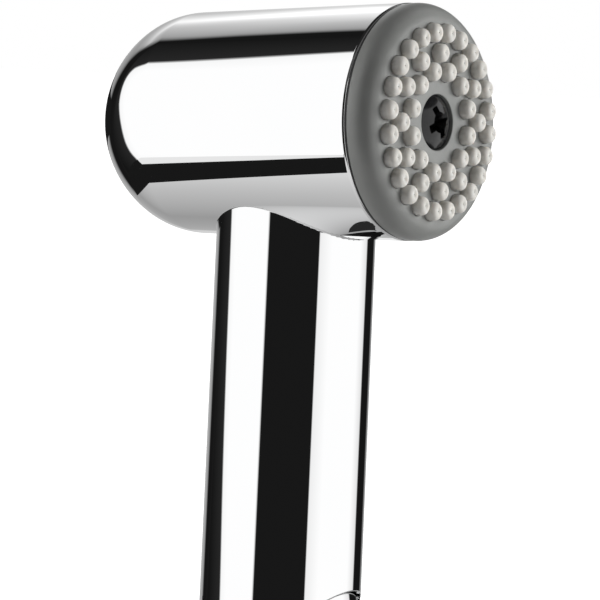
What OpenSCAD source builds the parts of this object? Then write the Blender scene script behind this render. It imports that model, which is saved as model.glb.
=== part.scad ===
// Handheld bath sprayer with a trigger valve in its handle.
// The origin is at the middle of the hose thread's open end.
// +Z runs up the handle axis, and +X points the way the head sprays.

/* [Head] */
// Outer diameter of the spray head
head_d = 40; // [38:0.5:46]
// Straight length of the head, from its front edge to the start of the dome
head_straight = 44.5; // [42:0.5:56]
// Depth of the domed rear of the head
dome_depth = 18.8; // [15:0.2:19.6]
// Wall of the head
head_wall = 2.2; // [1.8:0.1:2.8]
// Height of the head axis above the open end of the hose thread
head_axis_z = 175; // [168:1:200]
// Distance from the handle axis forward to the front edge of the head
head_reach = 23.9; // [22:0.1:26]
// Upward tilt of the spray direction
head_tilt = 3.2; // [0:0.2:6]
// Rounding of the front edge of the head
edge_round = 1; // [0.4:0.1:1.4]

/* [Spray face] */
// Step from the side of the head in to the side of the face plate
face_step = 0.1; // [0:0.05:0.4]
// Distance from the front edge of the head to the front of the face plate
face_depth = 4.75; // [4.2:0.05:6]
// Rounding of the rim of the face plate
face_round = 3.4; // [1:0.1:3.6]
// Thickness of the front wall of the face plate
face_wall = 1.9; // [1.5:0.1:2.2]
// Wall of the skirt that centres the face plate in the head
skirt_wall = 1.05; // [0.9:0.05:1.3]
// Length of the skirt behind the front edge of the head
skirt_len = 4.5; // [3:0.5:6]
// Thickness of the gasket between the head and the face plate
gasket_t = 0.4; // [0.3:0.05:0.8]
// Step from the side of the head in to the side of the gasket
gasket_step = 0.25; // [0.1:0.05:0.6]

/* [Nozzles] */
// Diameter of one nozzle
nozzle_d = 3.15; // [2.6:0.05:3.4]
// Height of a nozzle above the face
nozzle_h = 1.7; // [1:0.1:2.5]
// Diameter of the flat tip of a nozzle
nozzle_tip_d = 1.4; // [1:0.1:1.8]
// Depth of the dish in the tip of a nozzle
nozzle_dish = 0.25; // [0.1:0.05:0.4]
// Diameter of the jet hole in a nozzle
jet_d = 0.5; // [0.4:0.1:0.8]
// Diameter of the hollow behind the jet hole
nozzle_bore_d = 1.7; // [1.2:0.1:1.9]
// Thickness of the mat that the nozzles stand on
mat_t = 1.4; // [1:0.1:1.6]
// Number of nozzles in the outer ring
outer_count = 24; // [16:2:26]
// Number of nozzles in each of the two inner rings
inner_count = 12; // [8:1:12]
// Distance from the outer ring in to the middle ring
ring_step_1 = 3.4; // [3.3:0.05:3.6]
// Distance from the middle ring in to the inner ring
ring_step_2 = 2.85; // [2.6:0.05:3]

/* [Face screw] */
// Thread diameter of the face screw
screw_d = 5; // [4:0.5:5]
// Length of the face screw under its head
screw_len = 10; // [8:1:14]
// Diameter of the head of the face screw
screw_head_d = 9.1; // [8.4:0.1:9.2]
// Height of the head of the face screw
screw_head_h = 3.7; // [3.2:0.1:3.9]
// Height of the domed top of that head
screw_dome_h = 1.2; // [1:0.1:1.6]
// How far the middle of that head stands proud of the face
screw_proud = 0.7; // [0.4:0.05:0.8]
// Length of the cross recess from tip to tip
cross_l = 5.4; // [4.6:0.1:5.8]
// Width of one wing of the cross recess
cross_w = 1.2; // [0.9:0.1:1.4]
// Turn of the cross recess from upright
cross_turn = 27; // [0:1:44]
// Diameter of the well that the screw head sits in
well_d = 9.4; // [9.3:0.1:10]
// Wall of the well
well_wall = 1.2; // [1:0.1:1.4]
// Thickness of the floor of the well
well_base = 1.4; // [1.2:0.1:1.6]
// Outer diameter of the threaded insert
insert_d = 7; // [6.6:0.1:7.4]
// Length of the threaded insert
insert_len = 8; // [6:0.5:10]

/* [Spray chamber] */
// Depth of the spray chamber behind the front edge of the head
chamber_len = 33.5; // [33:0.5:36]
// Wall of the spray chamber at its mouth
chamber_rim = 0.9; // [0.8:0.05:1.2]
// Wall of the spray chamber behind its ledge
chamber_wall = 2.6; // [2:0.1:3]
// Diameter of the screw post in the spray chamber
post_d = 9.8; // [9.4:0.2:10.4]
// Distance from the head axis down to the stop at the top of the water tube
tube_stop = 10; // [9:0.5:11]
// Thickness of the diffuser plate
diffuser_t = 1.2; // [0.8:0.1:2]
// Distance from the front edge of the head back to the diffuser plate
diffuser_back = 6.5; // [6:0.5:9]
// Diameter of the holes in the diffuser plate
diffuser_hole_d = 2.2; // [1.5:0.1:2.6]

/* [Handle] */
// Diameter of the handle at the head axis
handle_top_d = 27.9; // [27.4:0.1:30]
// Diameter of the handle at its lower end
handle_bottom_d = 30.2; // [29.6:0.2:32]
// Height of the lower end of the body shell
shell_z = 14; // [13.5:0.5:16]
// Wall of the handle at its lower end
handle_wall = 3; // [2.8:0.1:3.2]
// Width of the shoulder in the handle bore that the valve body rests on
shoulder_w = 1.1; // [0.9:0.1:1.5]

/* [Trigger] */
// Height of the top of the trigger when it is pressed flush
trigger_top = 91.9; // [90:0.1:96]
// Length of the trigger
trigger_len = 54.5; // [50:0.5:58]
// Width of the trigger
trigger_w = 19.6; // [19:0.2:20]
// Wall of the front of the trigger
trigger_wall = 2.2; // [1.8:0.1:2.4]
// Wall of the sides of the trigger
trigger_side = 1.8; // [1.4:0.1:1.9]
// How far the sides of the trigger reach into the handle at rest
trigger_lap = 1.4; // [1:0.1:2]
// Angle that the trigger turns through
trigger_travel = 9; // [7:0.5:9]
// Gap round the trigger in its opening
trigger_gap = 0.35; // [0.3:0.05:0.5]
// Radius of the arched top edge of the trigger
top_arch_r = 14; // [13:0.5:18]
// Radius of the top corners of the trigger
top_corner_r = 3; // [2.5:0.5:4]
// Radius of the arched lower edge of the trigger
bottom_arch_r = 11; // [10.5:0.5:16]
// Radius of the lower corners of the trigger
bottom_corner_r = 6; // [4:0.5:8]
// Distance from the top of the trigger down to its pivot
pivot_drop = 6.4; // [6.2:0.1:7]
// Distance from the handle axis forward to the pivot
pivot_x = 7.5; // [7.2:0.1:7.8]
// Diameter of the pivot pin
pin_d = 3; // [2.5:0.1:3.2]

/* [Valve] */
// Distance from the trigger pivot down to the valve axis
press_arm = 16; // [16:0.5:18]
// Distance from the handle axis forward to the front of the valve body
valve_front = 8.5; // [8.3:0.1:8.8]
// Gap between the nose of the valve body and each side of the trigger
nose_gap = 0.4; // [0.3:0.05:0.6]
// Distance from the handle axis to where the nose of the valve body starts
valve_nose_x = 3.5; // [3:0.1:3.8]
// Diameter of the stem
stem_d = 4; // [3.6:0.1:4.2]
// Diameter of the neck of the stem where it passes the seat
stem_neck_d = 3; // [2.4:0.1:3.2]
// Distance from the handle axis forward to the tip of the stem
stem_tip = 12.15; // [12:0.05:12.4]
// Diameter of the hole in the valve seat
seat_d = 6.4; // [6:0.1:6.8]
// Distance from the handle axis back to the valve seat
seat_x = 2.4; // [2.3:0.1:2.6]
// Diameter of the washer that closes the seat
washer_d = 9; // [8.6:0.1:9.2]
// Thickness of the washer
washer_t = 1.6; // [1.4:0.1:1.7]
// Diameter of the chamber behind the seat
rear_bore_d = 10.4; // [10:0.1:10.6]
// Diameter of the bore for the valve cap
cap_bore_d = 12; // [11.6:0.1:12.2]
// Thickness of the rim of the valve cap
cap_rim = 2.3; // [2:0.1:2.4]
// Depth of the valve cap below the side of the valve body
cap_inset = 0.4; // [0.3:0.05:0.6]
// Wall between the bore for the valve cap and the tube sockets
bridge_wall = 1.5; // [1.3:0.1:1.8]
// Wire of the valve spring
spring_wire = 0.7; // [0.5:0.05:0.8]
// Mean diameter of the valve spring
spring_d = 5.4; // [5.2:0.1:5.5]
// Turns of the valve spring
spring_turns = 4; // [3:0.5:4.5]

/* [Water tubes] */
// Outer diameter of the water tubes
tube_d = 9; // [8.6:0.1:9.2]
// Wall of the water tubes
tube_wall = 1.4; // [1.1:0.1:1.6]
// Diameter of the sockets for the water tubes
socket_d = 10; // [9.8:0.1:10.2]
// Depth of the sockets in the valve body
socket_depth = 6.5; // [6.2:0.1:7]
// Wall round a tube socket
socket_wall = 1.75; // [1.5:0.05:1.8]
// Thickness of the O-rings on the water tubes
tube_ring_t = 1.2; // [1:0.1:1.3]

/* [Hose inlet] */
// Major diameter of the G1/2 hose thread
thread_d = 20.955; // [20.955:0.001:20.956]
// Length of the hose thread
thread_len = 10.6; // [9:0.1:11]
// Wall of the end collar round the flange of the inlet nipple
collar_wall = 2; // [1.6:0.1:2.2]
// Thickness of the flange of the inlet nipple
flange_t = 2; // [1.6:0.1:2.2]
// Height of the top of the inlet nipple
nipple_top = 31; // [29:0.5:32]
// Diameter of the waterway through the inlet nipple
inlet_d = 8; // [7:0.2:9]
// Diameter of the seat of the inlet filter
filter_d = 16; // [15:0.2:16.4]
// Height of the inlet filter
filter_h = 1.6; // [1.2:0.1:2]
// Depth of the seat of the inlet filter
filter_seat = 2.6; // [2.2:0.1:3]
// Rounding of the lower edge of the end collar
collar_round = 1.4; // [0.6:0.1:1.6]

/* [Hidden] */
$fn = 96;

// Clearances
slide_gap = 0.05;   // a rod in its guide
seat_gap = 0.04;    // two faces that press on each other
slip_gap = 0.1;     // a part pushed into a bore by hand
pin_gap = 0.06;     // the trigger on its pin
through = 40;       // more than any wall that a cut goes through

// Head and face
head_r = head_d / 2;
dome_knuckle = 0.9 * dome_depth;
dome_offset = head_r - dome_knuckle;
dome_nose = (pow(dome_depth, 2) + pow(dome_offset, 2) - pow(dome_knuckle, 2))
    / (2 * (dome_depth - dome_knuckle));
nose_z = dome_nose - dome_depth - head_straight;
head_bore_r = head_r - head_wall;
face_r = head_r - face_step;
face_inner = face_depth - face_wall;
skirt_r = head_bore_r - slip_gap;
mat_r = skirt_r - skirt_wall - slip_gap;
mat_back = face_inner - mat_t;
well_floor = face_depth + screw_proud - screw_head_h;
well_back = well_floor - well_base;
cross_depth = 2.4;
cross_taper = 0.5;
core_r = 0.5;
well_r = well_d / 2 + well_wall;
nozzle_r = nozzle_d / 2;
nozzle_margin = 0.1;
dish_r = nozzle_tip_d / 2 - nozzle_margin;
dish_ball_r = (pow(dish_r, 2) + pow(nozzle_dish, 2)) / (2 * nozzle_dish);
outer_ring_r = mat_r - nozzle_r - nozzle_margin;
middle_ring_r = outer_ring_r - ring_step_1;
inner_ring_r = middle_ring_r - ring_step_2;

// Spray chamber
chamber_front = mat_back - seat_gap;
chamber_r = head_bore_r - 3 * slip_gap;
chamber_mouth_r = mat_r - chamber_rim;
chamber_ledge_r = chamber_r - chamber_wall;
chamber_floor = 1.9;
post_flange_w = 1.3;
post_flange_r = well_r + post_flange_w;
post_front = well_back - seat_gap;
socket_r = socket_d / 2;
boss_r = socket_r + socket_wall;

// Handle
lower_bore_r = handle_bottom_d / 2 - handle_wall;
upper_bore_r = lower_bore_r - shoulder_w;

// Trigger and pivot
pivot_z = trigger_top - pivot_drop;
trigger_bottom = trigger_top - trigger_len;
trigger_half_w = trigger_w / 2;
pivot_surface_r = handle_r(pivot_z);
trigger_rise = pivot_drop * (cos(trigger_travel) - 1)
    + (pivot_surface_r - pivot_x) * sin(trigger_travel);
ear_r = 4.2;
ear_step = 0.6;
ear_t = 2.3;
ear_out = trigger_half_w - ear_step;
ear_in = ear_out - ear_t;
pin_r = pin_d / 2;
pin_reach = sqrt(pow(pivot_surface_r, 2) - pow(pivot_x + pin_r, 2)) - slip_gap;
pad_r = 3.2;

// Valve
valve_z = pivot_z - press_arm;
valve_r = lower_bore_r - 2 * slip_gap;
valve_nose_w = 2 * (trigger_half_w - trigger_side - nose_gap);
cap_bore_r = cap_bore_d / 2;
rear_bore_r = rear_bore_d / 2;
seat_wall = 1.9;
seat_lip = 0.5;
seat_lip_w = 0.8;
front_bore_w = 1.6;
gland_w = 2.1;
bush_step = 0.45;
front_bore_r = stem_d / 2 + front_bore_w;
gland_r = stem_d / 2 + gland_w;
bush_bore_r = gland_r + bush_step;
bush_len = 3.1;
gland_len = 2.1;
bush_x = valve_front - bush_len;
gland_x = bush_x - gland_len;
cap_gasket_t = 0.7;
cap_back = valve_r - cap_inset;
cap_shoulder = cap_back - cap_rim - cap_gasket_t;
spring_recess = 2.2;
washer_x = seat_x + seat_gap;
stem_flange_x = washer_x + washer_t + seat_gap;
stem_flange_t = 0.8;
stem_guide_len = 1.2;
spring_front = stem_flange_x + stem_flange_t;
spring_back = cap_shoulder + spring_recess;
outlet_socket_z = valve_z + cap_bore_r + bridge_wall;
shoulder_z = outlet_socket_z + bridge_wall;
valve_neck_top = outlet_socket_z + socket_depth;
plenum_h = 1.4;
inlet_socket_z = valve_z - cap_bore_r - bridge_wall;
valve_bottom = inlet_socket_z - socket_depth;
port_r = 1.9;

// Tubes and inlet
tube_r = tube_d / 2;
socket_lead = 1;
collar_r = socket_r - slip_gap;
collar_len = 6;
groove_gap = 0.6;
groove_w = tube_ring_t + groove_gap;
ring_inner_r = collar_r - tube_ring_t + slip_gap;
outlet_bottom = outlet_socket_z + seat_gap;
outlet_top = head_axis_z - tube_stop - seat_gap;
nipple_socket_z = nipple_top - socket_depth - socket_lead;
inlet_bottom = nipple_socket_z + seat_gap;
inlet_top = inlet_socket_z - seat_gap;
spigot_r = lower_bore_r - slip_gap;
flange_r = handle_bottom_d / 2 - collar_wall - slip_gap;
flange_z = thread_len;
flange_lip = 0.4;
collar_z = flange_z + flange_lip;
lip_z = flange_z + flange_t;

function handle_r(z) = handle_bottom_d / 2
    + (handle_top_d - handle_bottom_d) / 2 * (z - shell_z) / (head_axis_z - shell_z);
function ring_points(count, r, first) = [for (i = [0:count - 1])
    [r * cos(first + i * 360 / count), r * sin(first + i * 360 / count)]];
function nozzle_points() = concat(
    ring_points(outer_count, outer_ring_r, 180 / outer_count),
    ring_points(inner_count, middle_ring_r, 0),
    ring_points(inner_count, inner_ring_r, 180 / inner_count));

// Stands children, drawn with +Z as the spray axis from the front edge, in the head
module in_head() {
    translate([0, 0, head_axis_z])
        rotate([0, 90 - head_tilt, 0])
            translate([0, 0, head_reach])
                children();
}

// Lays children, drawn along +Z, along +X at the height of the valve
module on_valve_axis() {
    translate([0, 0, valve_z])
        rotate([0, 90, 0])
            children();
}

// A straight length of tube
module ring(r_out, r_in, z, h) {
    translate([0, 0, z])
        difference() {
            cylinder(r = r_out, h = h);
            translate([0, 0, -1])
                cylinder(r = r_in, h = h + 2);
        }
}

// An O-ring with its middle at z
module o_ring(inner_r, t, z) {
    translate([0, 0, z])
        rotate_extrude()
            translate([inner_r + t / 2, 0])
                circle(d = t);
}

// Half section of the head, set in from its outer surface
module head_section(inset, front) {
    nose_r = dome_nose - inset;
    reach = 3 * dome_nose;
    translate([0, -head_straight])
        square([head_r - inset, head_straight + front]);
    intersection() {
        translate([dome_offset, -head_straight])
            circle(r = dome_knuckle - inset);
        translate([0, -head_straight - head_r])
            square([head_d, head_d]);
    }
    intersection() {
        translate([0, nose_z])
            circle(r = nose_r);
        polygon([[0, nose_z],
            [reach * dome_offset, nose_z - reach * (nose_z + head_straight)],
            [0, nose_z - reach * (nose_z + head_straight)]]);
    }
}

// The handle as a plain tapered rod, set in from its outer surface
module handle_rod(inset) {
    translate([0, 0, shell_z])
        cylinder(r1 = handle_bottom_d / 2 - inset, r2 = handle_top_d / 2 - inset,
            h = head_axis_z - shell_z);
}

// One arched end of the trigger outline, with its peak at the origin
module trigger_end(arch_r, corner_r, half_w) {
    side = half_w - corner_r;
    rise = sqrt(pow(arch_r - corner_r, 2) - pow(side, 2));
    touch = side * arch_r / (arch_r - corner_r);
    intersection() {
        translate([0, -arch_r])
            circle(r = arch_r);
        translate([-touch, rise - arch_r - corner_r])
            square([2 * touch, arch_r + corner_r]);
    }
    for (s = [-1, 1])
        translate([s * side, rise - arch_r])
            circle(r = corner_r);
}

// Front outline of the trigger, grown by g on every side and by rise at its top
module trigger_outline(g, rise = 0) {
    half_w = trigger_half_w + g;
    top_corner = trigger_top - top_arch_r + sqrt(pow(top_arch_r - top_corner_r, 2)
        - pow(trigger_half_w - top_corner_r, 2));
    low_corner = trigger_bottom + bottom_arch_r - sqrt(pow(bottom_arch_r - bottom_corner_r, 2)
        - pow(trigger_half_w - bottom_corner_r, 2));
    translate([0, trigger_top + g + rise])
        trigger_end(top_arch_r + g, top_corner_r + g, half_w);
    translate([0, trigger_bottom - g])
        mirror([0, 1])
            trigger_end(bottom_arch_r + g, bottom_corner_r + g, half_w);
    translate([-half_w, low_corner])
        square([2 * half_w, top_corner + rise - low_corner]);
}

// The trigger outline as a prism along +X
module trigger_prism(g, x, rise = 0) {
    translate([x, 0, 0])
        rotate([90, 0, 90])
            linear_extrude(height = through)
                trigger_outline(g, rise);
}

// Turns children about the pivot, from pressed flush out to rest
module at_rest() {
    translate([pivot_x, 0, pivot_z])
        rotate([0, -trigger_travel, 0])
            translate([-pivot_x, 0, -pivot_z])
                children();
}

// A rod along Y through the trigger pivot
module pivot_rod(r, half_len) {
    translate([pivot_x, half_len, pivot_z])
        rotate([90, 0, 0])
            cylinder(r = r, h = 2 * half_len);
}

module head_blank() {
    rotate_extrude()
        difference() {
            head_section(0, 0);
            translate([head_r - edge_round, -edge_round])
                difference() {
                    square([edge_round + 1, edge_round + 1]);
                    circle(r = edge_round);
                }
        }
}

module body_shell() {
    color([0.83, 0.84, 0.86])
        difference() {
            union() {
                handle_rod(0);
                in_head()
                    head_blank();
            }
            in_head()
                rotate_extrude()
                    head_section(head_wall, 1);
            translate([0, 0, shell_z - 1])
                cylinder(r = lower_bore_r, h = shoulder_z - shell_z + 1);
            cylinder(r = upper_bore_r, h = head_axis_z);
            trigger_prism(trigger_gap, valve_nose_x - 1, trigger_rise);
            pivot_rod(pin_r + slide_gap, through);
        }
}

module face_gasket() {
    color([0.03, 0.03, 0.03])
        in_head()
            ring(head_r - gasket_step, skirt_r + slip_gap, seat_gap / 2, gasket_t - seat_gap);
}

module face_plate() {
    color([0.56, 0.57, 0.55])
        in_head()
            difference() {
                union() {
                    rotate_extrude()
                        intersection() {
                            union() {
                                square([face_r, face_depth - face_round]);
                                square([face_r - face_round, face_depth]);
                                translate([face_r - face_round, face_depth - face_round])
                                    circle(r = face_round);
                            }
                            translate([0, gasket_t])
                                square([face_r, face_depth]);
                        }
                    translate([0, 0, -skirt_len])
                        cylinder(r = skirt_r, h = skirt_len + gasket_t);
                }
                difference() {
                    translate([0, 0, -skirt_len - 1])
                        cylinder(r = skirt_r - skirt_wall, h = skirt_len + 1 + face_inner);
                    translate([0, 0, well_back])
                        cylinder(r = well_r, h = face_depth);
                }
                translate([0, 0, well_floor])
                    cylinder(d = well_d, h = face_depth);
                cylinder(d = screw_d + 3 * slip_gap, h = face_depth);
                for (p = nozzle_points())
                    translate([p.x, p.y, face_inner - 1])
                        cylinder(r = nozzle_r + slip_gap, h = face_wall + 2);
            }
}

// Half section of one nozzle, from the front of the mat to its tip
module nozzle_section() {
    tip_z = face_depth + nozzle_h;
    tip_round = nozzle_r - nozzle_tip_d / 2;
    translate([0, face_inner - mat_t / 2])
        square([nozzle_r, tip_z - tip_round - face_inner + mat_t / 2]);
    translate([0, face_inner])
        square([nozzle_tip_d / 2, tip_z - face_inner]);
    intersection() {
        translate([nozzle_tip_d / 2, tip_z - tip_round])
            circle(r = tip_round);
        translate([0, face_inner])
            square([nozzle_r, tip_z]);
    }
}

module nozzle_mat() {
    color([0.8, 0.78, 0.76])
        in_head()
            difference() {
                union() {
                    translate([0, 0, mat_back])
                        cylinder(r = mat_r, h = mat_t - seat_gap);
                    for (p = nozzle_points())
                        translate([p.x, p.y, 0])
                            rotate_extrude()
                                nozzle_section();
                }
                translate([0, 0, mat_back - 1])
                    cylinder(r = well_r + slip_gap, h = mat_t + 2);
                for (p = nozzle_points())
                    translate([p.x, p.y, mat_back - 1]) {
                        cylinder(d = nozzle_bore_d, h = face_depth - mat_back + nozzle_h);
                        cylinder(d = jet_d, h = face_depth + nozzle_h + 2);
                    }
                for (p = nozzle_points())
                    translate([p.x, p.y, face_depth + nozzle_h + dish_ball_r - nozzle_dish])
                        sphere(r = dish_ball_r);
            }
}

module face_screw() {
    dome_r = (pow(screw_head_d / 2, 2) + pow(screw_dome_h, 2)) / (2 * screw_dome_h);
    dome_dip = dome_r - sqrt(pow(dome_r, 2) - pow(cross_l / 2, 2));
    top_z = well_floor + screw_head_h;
    wing_r = cross_l / 2 - cross_taper * (cross_depth - dome_dip);
    cut_h = cross_depth + 1;
    color([0.09, 0.09, 0.1])
        in_head()
            difference() {
                union() {
                    rotate_extrude()
                        intersection() {
                            translate([0, well_floor + seat_gap])
                                square([screw_head_d / 2, screw_head_h]);
                            translate([0, top_z - dome_r])
                                circle(r = dome_r);
                        }
                    translate([0, 0, well_floor - screw_len])
                        cylinder(d = screw_d - 2 * slide_gap, h = screw_len + 1);
                }
                translate([0, 0, top_z - cross_depth])
                    rotate(cross_turn) {
                        cylinder(r1 = core_r, r2 = core_r + cross_taper * cut_h, h = cut_h);
                        intersection() {
                            cylinder(r1 = wing_r, r2 = wing_r + cross_taper * cut_h, h = cut_h);
                            for (a = [0, 90])
                                rotate(a)
                                    translate([-cross_l, -cross_w / 2, 0])
                                        cube([2 * cross_l, cross_w, cut_h]);
                        }
                    }
            }
}

module screw_insert() {
    color([0.78, 0.62, 0.3])
        in_head()
            ring(insert_d / 2, screw_d / 2, post_front - insert_len, insert_len);
}

module diffuser_plate() {
    inner = post_flange_r + slip_gap;
    width = chamber_mouth_r - slip_gap - inner;
    hole_rows = [[18, inner + 0.7 * width], [12, inner + 0.3 * width]];
    color([0.88, 0.88, 0.86])
        in_head()
            difference() {
                ring(inner + width, inner, seat_gap - diffuser_back, diffuser_t);
                for (row = hole_rows)
                    for (p = ring_points(row[0], row[1], 0))
                        translate([p.x, p.y, -diffuser_back - 1])
                            cylinder(d = diffuser_hole_d, h = diffuser_t + 2);
            }
}

module spray_chamber() {
    skirt_end = skirt_len + slip_gap;
    color([0.9, 0.9, 0.88])
        difference() {
            union() {
                in_head() {
                    difference() {
                        union() {
                            translate([0, 0, -chamber_len])
                                cylinder(r = chamber_r, h = chamber_len - skirt_end);
                            translate([0, 0, -chamber_len])
                                cylinder(r = mat_r, h = chamber_len + chamber_front);
                        }
                        translate([0, 0, -diffuser_back])
                            cylinder(r = chamber_mouth_r, h = through);
                        translate([0, 0, chamber_floor - chamber_len])
                            cylinder(r = chamber_ledge_r, h = chamber_len);
                    }
                    translate([0, 0, -chamber_len])
                        cylinder(d = post_d, h = chamber_len + post_front);
                    translate([0, 0, post_front - 1.5])
                        cylinder(r = post_flange_r, h = chamber_front - post_front + 1.5);
                }
                intersection() {
                    translate([0, 0, head_axis_z - head_r])
                        cylinder(r = boss_r, h = head_r - tube_stop + 2);
                    in_head()
                        translate([0, 0, -chamber_len])
                            cylinder(r = chamber_r, h = chamber_len);
                }
            }
            in_head() {
                translate([0, 0, post_front])
                    cylinder(r = well_r + slip_gap, h = through);
                translate([0, 0, post_front - insert_len - slide_gap])
                    cylinder(d = insert_d + 2 * slide_gap, h = through);
                translate([0, 0, well_floor - screw_len - 1])
                    cylinder(d = screw_d + 2 * slip_gap, h = through);
            }
            translate([0, 0, head_axis_z - head_d])
                cylinder(r = socket_r, h = head_d - tube_stop);
            translate([0, 0, head_axis_z - head_d])
                cylinder(r = tube_r - tube_wall, h = head_d - tube_stop + 3);
        }
}

// A water tube between two sockets, with a grooved collar at each end
module water_tube(bottom, top) {
    difference() {
        union() {
            translate([0, 0, bottom])
                cylinder(r = tube_r, h = top - bottom);
            for (z = [bottom, top - collar_len])
                translate([0, 0, z])
                    cylinder(r = collar_r, h = collar_len);
        }
        for (z = [bottom + collar_len / 2, top - collar_len / 2])
            ring(socket_r, ring_inner_r - seat_gap, z - groove_w / 2, groove_w);
        translate([0, 0, bottom - 1])
            cylinder(r = tube_r - tube_wall, h = top - bottom + 2);
    }
}

module tube_rings(bottom, top) {
    for (z = [bottom + collar_len / 2, top - collar_len / 2])
        o_ring(ring_inner_r, tube_ring_t - seat_gap, z);
}

module outlet_tube() {
    color([0.93, 0.93, 0.9])
        water_tube(outlet_bottom, outlet_top);
}

module outlet_tube_o_rings() {
    color([0.05, 0.05, 0.05])
        tube_rings(outlet_bottom, outlet_top);
}

module inlet_tube() {
    color([0.93, 0.93, 0.9])
        water_tube(inlet_bottom, inlet_top);
}

module inlet_tube_o_rings() {
    color([0.05, 0.05, 0.05])
        tube_rings(inlet_bottom, inlet_top);
}

module valve_body() {
    inlet_port_x = -(seat_x + port_r + 0.1) + seat_lip;
    outlet_port_x = gland_x - port_r - 0.2;
    color([0.75, 0.6, 0.32])
        difference() {
            union() {
                translate([0, 0, valve_bottom])
                    cylinder(r = valve_r, h = shoulder_z - seat_gap - valve_bottom);
                translate([0, 0, valve_bottom])
                    cylinder(r = boss_r, h = valve_neck_top - valve_bottom);
            }
            translate([valve_front, -through, 0])
                cube([through, 2 * through, head_axis_z]);
            for (s = [-1, 1])
                translate([valve_nose_x, s * (valve_nose_w / 2 + through / 2) - through / 2, 0])
                    cube([through, through, head_axis_z]);
            translate([0, 0, valve_bottom - 1])
                cylinder(r = socket_r, h = socket_depth + 1);
            translate([0, 0, inlet_socket_z])
                cylinder(r = socket_r - 0.6, h = plenum_h);
            translate([inlet_port_x, 0, inlet_socket_z])
                cylinder(r = port_r, h = valve_z - inlet_socket_z);
            translate([0, 0, outlet_socket_z])
                cylinder(r = socket_r, h = socket_depth + 1);
            translate([outlet_port_x, 0, valve_z])
                cylinder(r = port_r, h = outlet_socket_z - valve_z + 1);
            on_valve_axis() {
                translate([0, 0, -through])
                    cylinder(r = cap_bore_r, h = through - cap_shoulder);
                translate([0, 0, -cap_shoulder - 1])
                    difference() {
                        cylinder(r = rear_bore_r, h = cap_shoulder + 1 - seat_x + seat_lip);
                        translate([0, 0, cap_shoulder + 1 - seat_x])
                            cylinder(d = seat_d + 2 * seat_lip_w, h = 1);
                    }
                translate([0, 0, -seat_x - 1])
                    cylinder(d = seat_d, h = seat_wall + 2);
                translate([0, 0, seat_wall - seat_x])
                    cylinder(r = front_bore_r, h = through);
                translate([0, 0, gland_x])
                    cylinder(r = gland_r, h = through);
                translate([0, 0, bush_x])
                    cylinder(r = bush_bore_r, h = through);
            }
        }
}

module valve_seat_washer() {
    color([0.06, 0.06, 0.06])
        on_valve_axis()
            ring(washer_d / 2, stem_neck_d / 2 + slide_gap, -washer_x - washer_t, washer_t);
}

module valve_stem() {
    tip_r = stem_d / 2;
    neck_end = seat_wall - seat_x;
    color([0.8, 0.81, 0.83])
        on_valve_axis() {
            translate([0, 0, neck_end])
                cylinder(r = tip_r, h = stem_tip - tip_r - neck_end);
            translate([0, 0, stem_tip - tip_r])
                sphere(r = tip_r);
            translate([0, 0, -stem_flange_x])
                cylinder(d = stem_neck_d, h = stem_flange_x + neck_end + 1);
            translate([0, 0, -spring_front])
                cylinder(d = washer_d, h = stem_flange_t);
            translate([0, 0, -spring_front - stem_guide_len])
                cylinder(d = spring_d - spring_wire - 4 * slip_gap, h = stem_guide_len + 0.1);
        }
}

module stem_o_ring() {
    color([0.05, 0.05, 0.05])
        on_valve_axis()
            o_ring(stem_d / 2 + slide_gap, gland_len - 2 * slide_gap, (gland_x + bush_x) / 2);
}

module stem_bush() {
    color([0.72, 0.57, 0.3])
        on_valve_axis()
            ring(bush_bore_r - slide_gap, stem_d / 2 + slide_gap, bush_x + seat_gap, bush_len - seat_gap);
}

// Points of one ring of the spring wire, at turn t from 0 to 1
function spring_ring(t, sides) = let (turn = 360 * spring_turns * t,
    pitch_len = spring_back - spring_front - spring_wire - 2 * seat_gap)
    [for (k = [0:sides - 1]) let (a = 360 * k / sides,
        r = spring_d / 2 + spring_wire / 2 * cos(a))
        [r * cos(turn), r * sin(turn), pitch_len * t + spring_wire / 2 * sin(a)]];

module valve_spring() {
    sides = 8;
    steps = ceil(spring_turns * 20);
    points = [for (i = [0:steps]) each spring_ring(i / steps, sides)];
    walls = [for (i = [0:steps - 1]) for (k = [0:sides - 1])
        [i * sides + k, (i + 1) * sides + k, (i + 1) * sides + (k + 1) % sides, i * sides + (k + 1) % sides]];
    first = [for (k = [0:sides - 1]) k];
    last = [for (k = [sides - 1:-1:0]) steps * sides + k];
    color([0.7, 0.71, 0.73])
        on_valve_axis()
            translate([0, 0, spring_wire / 2 + seat_gap - spring_back])
                polyhedron(points = points, faces = concat(walls, [first, last]));
}

module valve_cap_gasket() {
    color([0.06, 0.06, 0.06])
        on_valve_axis()
            ring(cap_bore_r - slip_gap, rear_bore_r - 0.4, -cap_shoulder - cap_gasket_t + seat_gap,
                cap_gasket_t - 2 * seat_gap);
}

module valve_cap() {
    slot_w = 1.2;
    slot_depth = 0.8;
    color([0.75, 0.6, 0.32])
        on_valve_axis()
            difference() {
                intersection() {
                    union() {
                        translate([0, 0, -cap_back])
                            cylinder(r = cap_bore_r - slide_gap, h = cap_back - cap_shoulder - cap_gasket_t);
                        translate([0, 0, -cap_back])
                            cylinder(r = rear_bore_r - 0.5, h = cap_back - cap_shoulder);
                    }
                    translate([-through, 0, 0])
                        rotate([0, 90, 0])
                            cylinder(r = valve_r, h = 2 * through);
                }
                translate([0, 0, -cap_shoulder - spring_recess])
                    cylinder(d = spring_d + spring_wire + 6 * slip_gap, h = through);
                translate([-slot_w / 2, -through, -cap_back - 1])
                    cube([slot_w, 2 * through, slot_depth + 1]);
            }
}

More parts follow.
